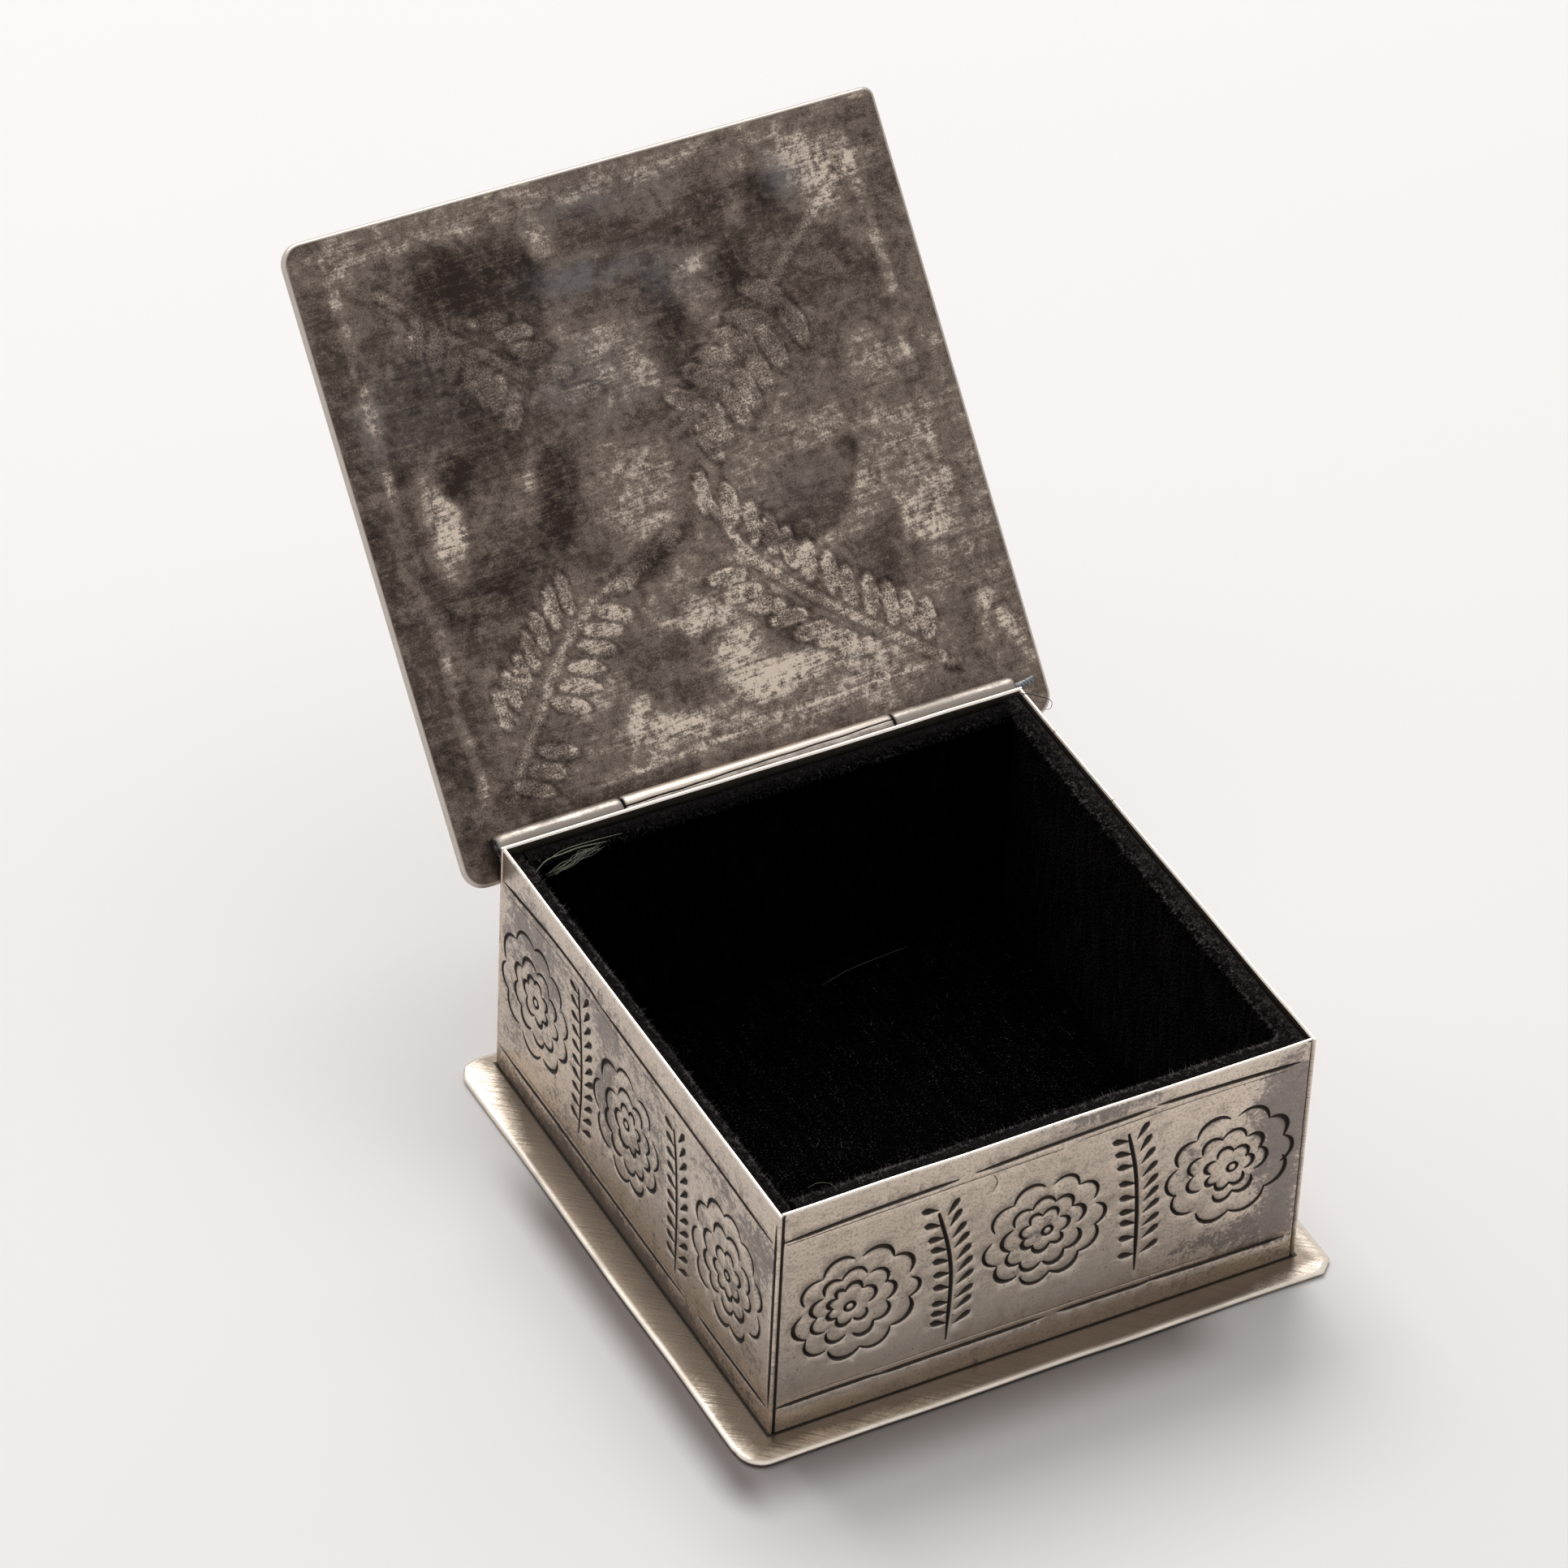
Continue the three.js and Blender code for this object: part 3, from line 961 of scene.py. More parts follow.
@dataclass
class Wall:
    """One struck sheet, drawn from its lower left corner as seen from outside."""

    name: str
    corner: Place
    along: Place
    length: float
    start: float
    ornament: Ornament
    finish: Finish
    seed: int
    dark_ends: bool = False
    bevel: float = 0.19
    spacing: float = 1.5

    def rim(self, u: np.ndarray) -> np.ndarray:
        """Gives the height of the hand-cut rim along the wall."""
        fade = smooth_step(np.minimum(u, self.length - u), 0.0, 6.0)
        return WALL_HEIGHT - 0.03 + fade * 0.14 * Noise(self.seed).layers(u, 0 * u, 14.0, 2)

    def outline(self, inset: float) -> np.ndarray:
        """Gives the line round the sheet.

        Args:
            inset: How far inside the sheet's edge it runs.

        Returns:
            Its points, counter-clockwise.
        """
        steps = np.arange(0, self.length, 1.0)
        rises = np.linspace(0, 1, 32)[:-1]
        full = self.length + 0 * rises
        top = self.rim(self.length - steps)
        ends = self.rim(np.array([self.length, 0.0]))
        u = np.concatenate([steps, full, self.length - steps, 0 * rises])
        v = np.concatenate([0 * steps, rises * ends[0], top, (1 - rises) * ends[1]])
        edge = self.rim(u) - inset
        return np.column_stack([np.clip(u, inset, self.length - inset),
                                np.clip(v, inset, edge)])

    def cut_face(self) -> tuple[np.ndarray, list[tuple[int, ...]], np.ndarray, list[Stroke]]:
        """Cuts the outer face along every mark.

        Returns:
            Its points, faces, the numbers of the points round its edge, and the marks.
        """
        edge = self.outline(self.bevel)
        loop = [(i, (i + 1) % len(edge)) for i in range(len(edge))]
        points, count = [edge, self.outline(self.bevel + 0.13)], 2 * len(edge)
        joins = loop + [(one + len(edge), two + len(edge)) for one, two in loop]
        low, high = self.bevel + 0.16, np.array([self.length, WALL_HEIGHT - 0.2]) - self.bevel - 0.16
        marks = [replace(mark, spine=mark.spine - [self.start, 0]) for mark in self.ornament.strokes()]
        for mark in marks:
            lines = [(mark.spine, False), (mark.sides(0.0), True), (mark.sides(mark.shoulder), True)]
            if mark.fade:
                lines.append((mark.inner(), False))
            for line, closed in lines:
                points.append(np.clip(line, low, high))
                joins += [(count + i, count + i + 1) for i in range(len(line) - 1)]
                if closed:
                    joins.append((count + len(line) - 1, count))
                count += len(line)
        shake = np.random.default_rng(self.seed)
        across = np.arange(1.0, self.length - 0.8, self.spacing)
        up = np.arange(1.0, WALL_HEIGHT - 0.9, self.spacing)
        mesh = np.stack(np.meshgrid(across, up), -1).reshape(-1, 2)
        points.append(mesh + shake.uniform(-0.3, 0.3, mesh.shape))
        flat = [Vector(point) for point in np.vstack(points)]
        made, _, faces, origin, _, _ = delaunay_2d_cdt(flat, joins, [], 1, 1e-5)
        number = {source: new for new, sources in enumerate(origin) for source in sources}
        ring = np.array([number[i] for i in range(len(edge))])
        return np.array([tuple(point) for point in made]), faces, ring, marks

    def place(self, flat: np.ndarray, depth: object) -> np.ndarray:
        """Puts places on the wall into the box.

        Args:
            flat: Places along the wall and above its foot.
            depth: Depth below the wall's outer face.

        Returns:
            Points in the box's frame.
        """
        along, up = np.array(self.along), np.array([0.0, 0.0, 1.0])
        inward = -np.cross(along, up)
        deep = np.broadcast_to(np.asarray(depth, float), (len(flat),))
        return (np.array(self.corner) + flat[:, :1] * along + flat[:, 1:] * up
                + deep[:, None] * inward)

    def keep(self, flat: np.ndarray) -> np.ndarray:
        """Gives the places that the finish's grain follows."""
        return np.column_stack([flat[:, 0] + self.start, flat[:, 1],
                                np.full(len(flat), 60.0 * self.seed)])

    def build(self) -> bpy.types.Object:
        """Makes the sheet: struck face, filed edges and plain inside.

        Returns:
            The piece.
        """
        face, triangles, ring, marks = self.cut_face()
        depth, groove = np.zeros(len(face)), np.zeros(len(face))
        for mark in marks:
            mark.sink(face, depth, groove)
        inset = np.minimum.reduce([face[:, 0], self.length - face[:, 0], face[:, 1],
                                   WALL_HEIGHT - face[:, 1]])
        swell = 0.07 * Noise(self.seed + 40).layers(face[:, 0], face[:, 1], 16.0, 2)
        depth = depth + swell * smooth_step(inset, 0.2, 5.0)
        if self.dark_ends:
            end = np.minimum(face[:, 0], self.length - face[:, 0])
            groove = np.maximum(groove, smooth_step(end, self.bevel + 0.12, self.bevel + 0.01))
        # The paler patches join the rubbed rim; by the front wall's foot they are painted light that
        # offsets the floor's painted shadow seen in the metal.
        bloom, worn = (self.ornament.patched(face + [self.start, 0], patches)
                       for patches in (self.ornament.bloom, self.ornament.worn))
        edge = 0.6 * smooth_step(self.rim(face[:, 0]) - face[:, 1], 0.4, 0.2)
        draft = Draft()
        first = draft.add(self.place(face, depth), flat=self.keep(face), groove=groove, tarnish=bloom,
                          rub=np.maximum(edge, worn))
        draft.faces += [tuple(first[i] for i in face_points) for face_points in triangles]
        full = self.outline(0.0)
        inner = self.outline(self.bevel)
        shown = smooth_step(full[:, 1], WALL_HEIGHT - 1.0, WALL_HEIGHT - 0.4)
        dark = (1 - shown) if self.dark_ends else 0.0
        values = {"flat": self.keep(full), "groove": dark, "rub": shown}
        rings = [ring,
                 draft.add(self.place(full, self.bevel), **values),
                 draft.add(self.place(full, WALL_SHEET - self.bevel), **values),
                 draft.add(self.place(inner, WALL_SHEET), **values)]
        draft.grid(rings, True)
        draft.faces.append(tuple(rings[-1]))
        return draft.piece(self.name + "_sheet", self.finish, Body.BOX, Slot.STAMPED, [self.name])


def rings(outer: tuple, middle: tuple, inner: tuple) -> tuple[Petals, ...]:
    """Makes a rosette's three rings.

    Args:
        outer: Shift across, shift up, radius and the crescents' angles of the outer ring.
        middle: The same for the middle ring.
        inner: The same for the inner ring.

    Returns:
        The three rings.
    """
    drops = (1.25, 1.15, 1.0)
    return tuple(Petals((across, up), radius, arcs, drop)
                 for (across, up, radius, arcs), drop in zip((outer, middle, inner), drops))


def front_ornament() -> Ornament:
    """Gives the front wall's three rosettes, two sprigs, border lines and bloom.

    Returns:
        The wall's ornament.
    """
    first = rings(
        (0, 0, 9.0, ((17, 50), (50, 86), (94, 129), (130, 163), (174, 207), (207, 238), (241, 276),
                     (276, 310), (311, 345), (345, 370))),
        (-0.55, 0, 6.1, ((347, 385), (22, 64), (68, 110), (110, 144), (148, 184), (184, 220),
                         (224, 261), (272, 308), (308, 345))),
        (-0.7, 0.2, 3.55, ((345, 415), (57, 112), (111, 142), (142, 180), (178, 220), (220, 272),
                           (277, 325))))
    second = rings(
        (0, 0.2, 8.75, ((345, 374), (21, 52), (52, 83), (92, 128), (128, 163), (175, 208), (209, 241),
                        (245, 279), (279, 313), (312, 346))),
        (-0.05, -0.2, 6.05, ((0, 38), (38, 74), (73, 112), (112, 150), (154, 197), (197, 232),
                             (230, 268), (271, 308), (308, 348))),
        (0, 0.25, 3.55, ((337, 394), (45, 98), (99, 142), (143, 192), (187, 235), (231, 289),
                         (292, 333))))
    third = rings(
        (-0.1, 0.1, 9.2, ((343, 375), (15, 48), (48, 85), (93, 130), (131, 162), (164, 198), (195, 230),
                          (236, 273), (273, 313), (313, 350))),
        (-0.5, 0.1, 5.9, ((333, 378), (15, 55), (57, 102), (101, 140), (143, 180), (180, 217),
                          (248, 283), (283, 322))),
        (-0.2, -0.3, 3.6, ((336, 388), (20, 80), (78, 132), (138, 185), (190, 230), (228, 275),
                           (275, 325))))
    return Ornament(
        rosettes=(Rosette(11.6, 19.2, (10.65, 19.35), first), Rosette(38.1, 17.8, (38.5, 17.75), second),
                  Rosette(64.8, 17.1, (65.1, 17.5), third)),
        sprigs=(Sprig(((22.65, 8.6), (24.3, 15), (25, 21), (24.8, 31)),
                      (7.7, 10.4, 12.9, 14.9, 17, 19.3, 21.6, 24.3, 26, 27.7),
                      (8.2, 10.2, 12.5, 14.4, 16.6, 18.8, 21, 23.5, 25.4, 27.9)),
                Sprig(((49.4, 5.9), (50.8, 12.5), (51.5, 20), (51.85, 30)),
                      (6.8, 9.1, 11.4, 14.4, 16.9, 19.3, 21.3, 23.9, 26.9),
                      (6, 8.3, 10.6, 13, 15.3, 17.4, 19.5, 21.9, 24, 26.6))),
        lines=(((0.9, 4.8), (13, 4.2), (25.2, 3.9)), ((27.6, 3.7), (40, 3.2), (53, 2.8)),
               ((53.2, 2.5), (64, 2.8), (73.8, 3.2)), ((0.9, 32.9), (15.2, 32.8)),
               ((14.2, 33.0), (39.2, 32.9)), ((40.8, 32.8), (54, 33)), ((53.2, 32.8), (74, 33.1))),
        bloom=((72, 10, 5, 9, 0.65), (73, 22, 3.5, 12, 0.7), (66, 30, 11, 4, 0.55),
               (46, 0.8, 8, 1.6, 0.8), (74, 3, 3, 5, 0.3), (3, 30, 4, 8, 0.25), (30, 35, 26, 2.5, 0.15),
               (58, 14, 3, 6, 0.25), (38, 18, 8, 8, 0.22), (64, 17, 8, 9, 0.15), (11, 19, 8, 8, 0.18)),
        scribes=(((1.2, 5.3), (20, 4.9), (40, 4.6)), ((43, 4.1), (60, 3.7), (72, 3.9)),
                 ((3, 31.9), (30, 31.8), (62, 31.9)), ((30.2, 5.2), (30.8, 6.6), (30.1, 7.9))),
        # These paler patches are painted light: paler metal by the foot that offsets the floor's painted
        # shadow seen in the wall.
        worn=((20, 30, 24, 9, 0.75), (47, 30, 9, 8, 0.4)))


def left_ornament() -> Ornament:
    """Gives the left wall's three rosettes, two sprigs, border lines and bloom.

    Returns:
        The wall's ornament.
    """
    first = rings(
        (0, 0.1, 9.5, ((0, 30), (31, 62), (61, 93), (93, 131), (131, 175), (178, 208), (208, 240),
                       (248, 284), (289, 325), (329, 360))),
        (0.4, -0.2, 6.3, ((340, 370), (12, 47), (48, 90), (89, 140), (142, 180), (180, 220), (220, 257),
                          (262, 300), (300, 335))),
        (0.3, 0.2, 3.5, ((5, 50), (54, 105), (90, 150), (142, 200), (202, 264), (268, 320), (320, 365))))
    second = rings(
        (0.3, 0, 9.0, ((354, 388), (37, 68), (77, 112), (112, 152), (162, 199), (202, 239), (246, 281),
                       (281, 312), (320, 352))),
        (0.7, -0.3, 6.3, ((5, 40), (44, 77), (76, 122), (133, 187), (181, 220), (220, 256), (262, 299),
                          (299, 328), (336, 365))),
        (0.8, 0.2, 3.5, ((5, 42), (52, 90), (85, 140), (145, 212), (213, 280), (283, 325), (322, 363))))
    third = rings(
        (0, 0, 9.4, ((0, 31), (36, 67), (67, 100), (100, 134), (134, 166), (175, 206), (206, 237),
                     (248, 279), (279, 309), (320, 356))),
        (0, -0.2, 6.4, ((335, 372), (7, 48), (55, 95), (95, 136), (145, 186), (186, 220), (220, 250),
                        (258, 293), (293, 330))),
        (0.1, -0.5, 3.65, ((2, 50), (57, 108), (105, 168), (172, 218), (220, 262), (262, 305),
                           (303, 354))))
    return Ornament(
        rosettes=(Rosette(9.9, 18.05, (10.25, 18), first), Rosette(35.4, 18.8, (35.75, 18.1), second),
                  Rosette(63.45, 19.75, (63.6, 20.4), third)),
        sprigs=(Sprig(((21.85, 6.4), (23, 15), (23.35, 22.5), (22.9, 30.2)),
                      tuple(np.linspace(7.0, 27.6, 10)), tuple(np.linspace(7.2, 28.4, 11))),
                Sprig(((48.35, 8.4), (49.25, 14), (49.85, 21), (50.1, 31.5)),
                      tuple(np.linspace(8.6, 28.6, 10)), tuple(np.linspace(8.4, 29.6, 11)))),
        lines=(((0.6, 5), (14, 3.9), (24, 3.9), (28, 4.3)), ((27.4, 4.3), (50, 4.9), (74.6, 5.6)),
               ((0.6, 33.3), (27, 33.5), (52.8, 33.4)), ((56.5, 33.4), (74.8, 33.3)),
               ((75.35, 2), (75.35, 33))),
        bloom=((6, 8, 9, 8, 0.55), (16, 14, 7, 8, 0.4), (4, 26, 5, 10, 0.5), (28, 6, 12, 4, 0.45),
               (42, 12, 7, 7, 0.35), (20, 30, 8, 5, 0.4), (58, 7, 12, 4, 0.45), (50, 26, 9, 7, 0.4),
               (36, 20, 9, 9, 0.3), (63, 20, 9, 10, 0.25), (70, 28, 6, 7, 0.3), (30, 16, 3, 10, 0.5),
               (72, 12, 5, 8, 0.45), (38, 36.5, 40, 2.4, 0.8)),
        scribes=(((2, 6.1), (20, 5.2), (46, 6.0)), ((4, 32.4), (40, 32.6), (72, 32.5))),
        worn=((58, 18, 16, 14, 0.35), (40, 18, 10, 8, 0.25)))


def hidden_ornament(seed: int) -> Ornament:
    """Continues the same ornament round a wall that the photograph hides.

    Args:
        seed: Which small differences of hand the wall has.

    Returns:
        The wall's ornament.
    """
    hand = np.random.default_rng(seed)

    def ring(count: int, radius: float) -> tuple:
        """Strikes one ring of crescents with the hand's unevenness.

        Args:
            count: How many crescents it has.
            radius: Its size.

        Returns:
            Its shift across, shift up, radius and angles.
        """
        step, start = 360 / count, hand.uniform(0, 40)
        arcs = tuple((start + step * i + hand.uniform(0, 3), start + step * (i + 1) - hand.uniform(0, 4))
                     for i in range(count))
        return (hand.uniform(-0.4, 0.4), hand.uniform(-0.3, 0.3), radius + hand.uniform(-0.15, 0.15),
                arcs)

    flowers = []
    for x in (10.8, 37.2, 64.3):
        x, below = x + hand.uniform(-0.6, 0.6), 18.5 + hand.uniform(-0.8, 0.8)
        petals = rings(ring(10, 9.1), ring(9, 6.15), ring(7, 3.55))
        flowers.append(Rosette(x, below, (x + hand.uniform(-0.3, 0.3), below), petals))
    sprigs = []
    for x in (23.4, 50.6):
        top = 7 + hand.uniform(-1, 1)
        stem = ((x - 1.2, top), (x, 14.5), (x + 0.6, 21.5), (x + 0.4, top + 23.5))
        left = tuple(top + 0.6 + 2.2 * i + hand.uniform(-0.25, 0.25) for i in range(10))
        right = tuple(top + 0.3 + 2.2 * i + hand.uniform(-0.25, 0.25) for i in range(10))
        sprigs.append(Sprig(stem, left, right))
    lines = (((1, 4.6), (26, 4.0)), ((27, 4.0), (52, 3.6)), ((52.6, 3.5), (75, 4.1)),
             ((1, 33.2), (38, 33)), ((39.5, 33), (75, 33.2)))
    bloom = tuple((hand.uniform(2, 74), hand.uniform(2, 34), hand.uniform(4, 12), hand.uniform(3, 8),
                   hand.uniform(0.1, 0.5)) for _ in range(9))
    return Ornament(tuple(flowers), tuple(sprigs), lines, bloom)


@dataclass
class WallSet:
    """The four struck walls: the front lies between the sides, and the rear laps over their ends."""

    finish: Finish = StampedSilver("stamped_silver", (0.64, 0.545, 0.455), 0.31)

    def build(self) -> list[bpy.types.Object]:
        """Makes the four walls.

        Returns:
            The four pieces.
        """
        half, sheet, foot = HALF_WIDTH, WALL_SHEET, FLOOR_LEVEL
        side = SIDE_REAR - FRONT_FACE
        walls = (
            Wall("front_wall", (sheet - half, FRONT_FACE, foot), (1, 0, 0), 2 * (half - sheet), sheet,
                 front_ornament(), self.finish, 3, True),
            Wall("left_wall", (-half, SIDE_REAR, foot), (0, -1, 0), side, 0.0, left_ornament(),
                 self.finish, 4),
            Wall("right_wall", (half, FRONT_FACE, foot), (0, 1, 0), side, 0.0, hidden_ornament(11),
                 self.finish, 5),
            Wall("rear_wall", (half, REAR_FACE, foot), (-1, 0, 0), 2 * half, 0.0, hidden_ornament(12),
                 self.finish, 6))
        return [wall.build() for wall in walls]


@dataclass(frozen=True)
class LidSilver(Finish):
    """Tarnished silver: brown to pale by the kept tone, with painted shade and highlight of the relief in
    it; slate patches, grainy leaves, rubbed edges with a painted highlight.
    """

    dark: Colour = (0.0305, 0.0230, 0.0193)
    brown: Colour = (0.0757, 0.0575, 0.0468)
    pale: Colour = (0.62, 0.53, 0.44)
    slate: Colour = (0.145, 0.143, 0.147)
    oxide: Colour = (0.03, 0.025, 0.022)
    bright: Colour = (0.62, 0.57, 0.51)

    def join(self, nodes: Nodes, shader: bpy.types.Node) -> None:
        """Joins tone, streaks, grain, slate and scratches.

        Args:
            nodes: Adds and joins the nodes.
            shader: The finish's shader.
        """
        place = nodes.flat()
        streak = nodes.noise(nodes.flat((0.12, 2.3, 1.0), 3.0), 1.0, 5.0, 0.72)
        cloud = nodes.noise(place, 4.2, 8.0, 0.72, 0.9)
        mottle = nodes.noise(place, 1.1, 6.0, 0.74, 0.4)
        grain = nodes.noise(place, 0.24, 3.0, 0.7)
        leaf = nodes.kept("leaf")
        grit = nodes.math("MULTIPLY", leaf, nodes.math("SUBTRACT", grain, 0.47))
        torn = nodes.total((streak, 0.7), (mottle, 1.1), (grain, 0.3))
        rubbed = nodes.math("MULTIPLY", nodes.math("MAXIMUM", nodes.kept("tone"), 0.0),
                            nodes.span(torn, 0.82, 1.28, 0.1, 1.9))
        stained = nodes.math("MULTIPLY", nodes.math("MINIMUM", nodes.kept("tone"), 0.0),
                             nodes.span(torn, 0.80, 1.30, 1.5, 0.45))
        tone = nodes.total((rubbed, 1.0), (stained, 1.0), (streak, 0.6), (cloud, 2.5), (mottle, 1.35),
                           (grain, 2.3), (grit, 3.2), base=-3.37)
        colour = nodes.blend(nodes.span(tone, -1.45, -0.5), self.dark, self.brown)
        colour = nodes.blend(nodes.span(tone, -0.5, 0.12), colour, self.colour)
        colour = nodes.blend(nodes.span(tone, 0.08, 2.0), colour, self.pale)
        veil = nodes.math("MULTIPLY", nodes.kept("slate"), nodes.span(cloud, 0.35, 0.6, 0.15, 0.9))
        colour = nodes.blend(veil, colour, self.slate)
        fleck = nodes.noise(nodes.flat((0.35, 3.0, 1.0), 2.0), 0.8, 4.0, 0.7)
        colour = nodes.blend(nodes.span(fleck, 0.69, 0.76, 0.0, 0.4), colour, self.pale)
        groove = nodes.span(nodes.kept("groove"), 0.1, 0.9)
        colour = nodes.blend(groove, colour, self.oxide)
        nodes.feed(shader.inputs["Base Color"], nodes.blend(nodes.kept("rub"), colour, self.bright))
        rough = nodes.total((streak, 0.16), (cloud, 0.14), (leaf, 0.08), base=self.roughness - 0.15)
        nodes.feed(shader.inputs["Roughness"], rough)
        fine = nodes.noise(nodes.flat((0.05, 2.6, 1.0), 3.0), 0.8, 3.0, 0.6)
        height = nodes.total((fine, 0.4), (streak, 0.4), (grain, 0.5), (mottle, 0.5), (grit, 2.0))
        nodes.feed(shader.inputs["Normal"], nodes.bump(height, 0.03))


@dataclass(frozen=True)
class LidSprig:
    """A fern sprig pressed into the lid: its stem and the oval leaves down both sides."""

    stem: tuple[Point, ...]
    one_side: tuple[Point, ...]
    one_turn: float
    other_side: tuple[Point, ...]
    other_turn: float
    long: float = 5.3
    wide: float = 2.3
    faint: float = 1.0

    def leaves(self) -> Iterator[tuple[float, float, float]]:
        """Gives each leaf's middle and the angle of its length.

        Yields:
            Place across, place down and angle.
        """
        for places, turn in ((self.one_side, self.one_turn), (self.other_side, self.other_turn)):
            for number, (x, y) in enumerate(places):
                yield x, y, math.radians(turn + 5 * math.sin(2.1 * number))


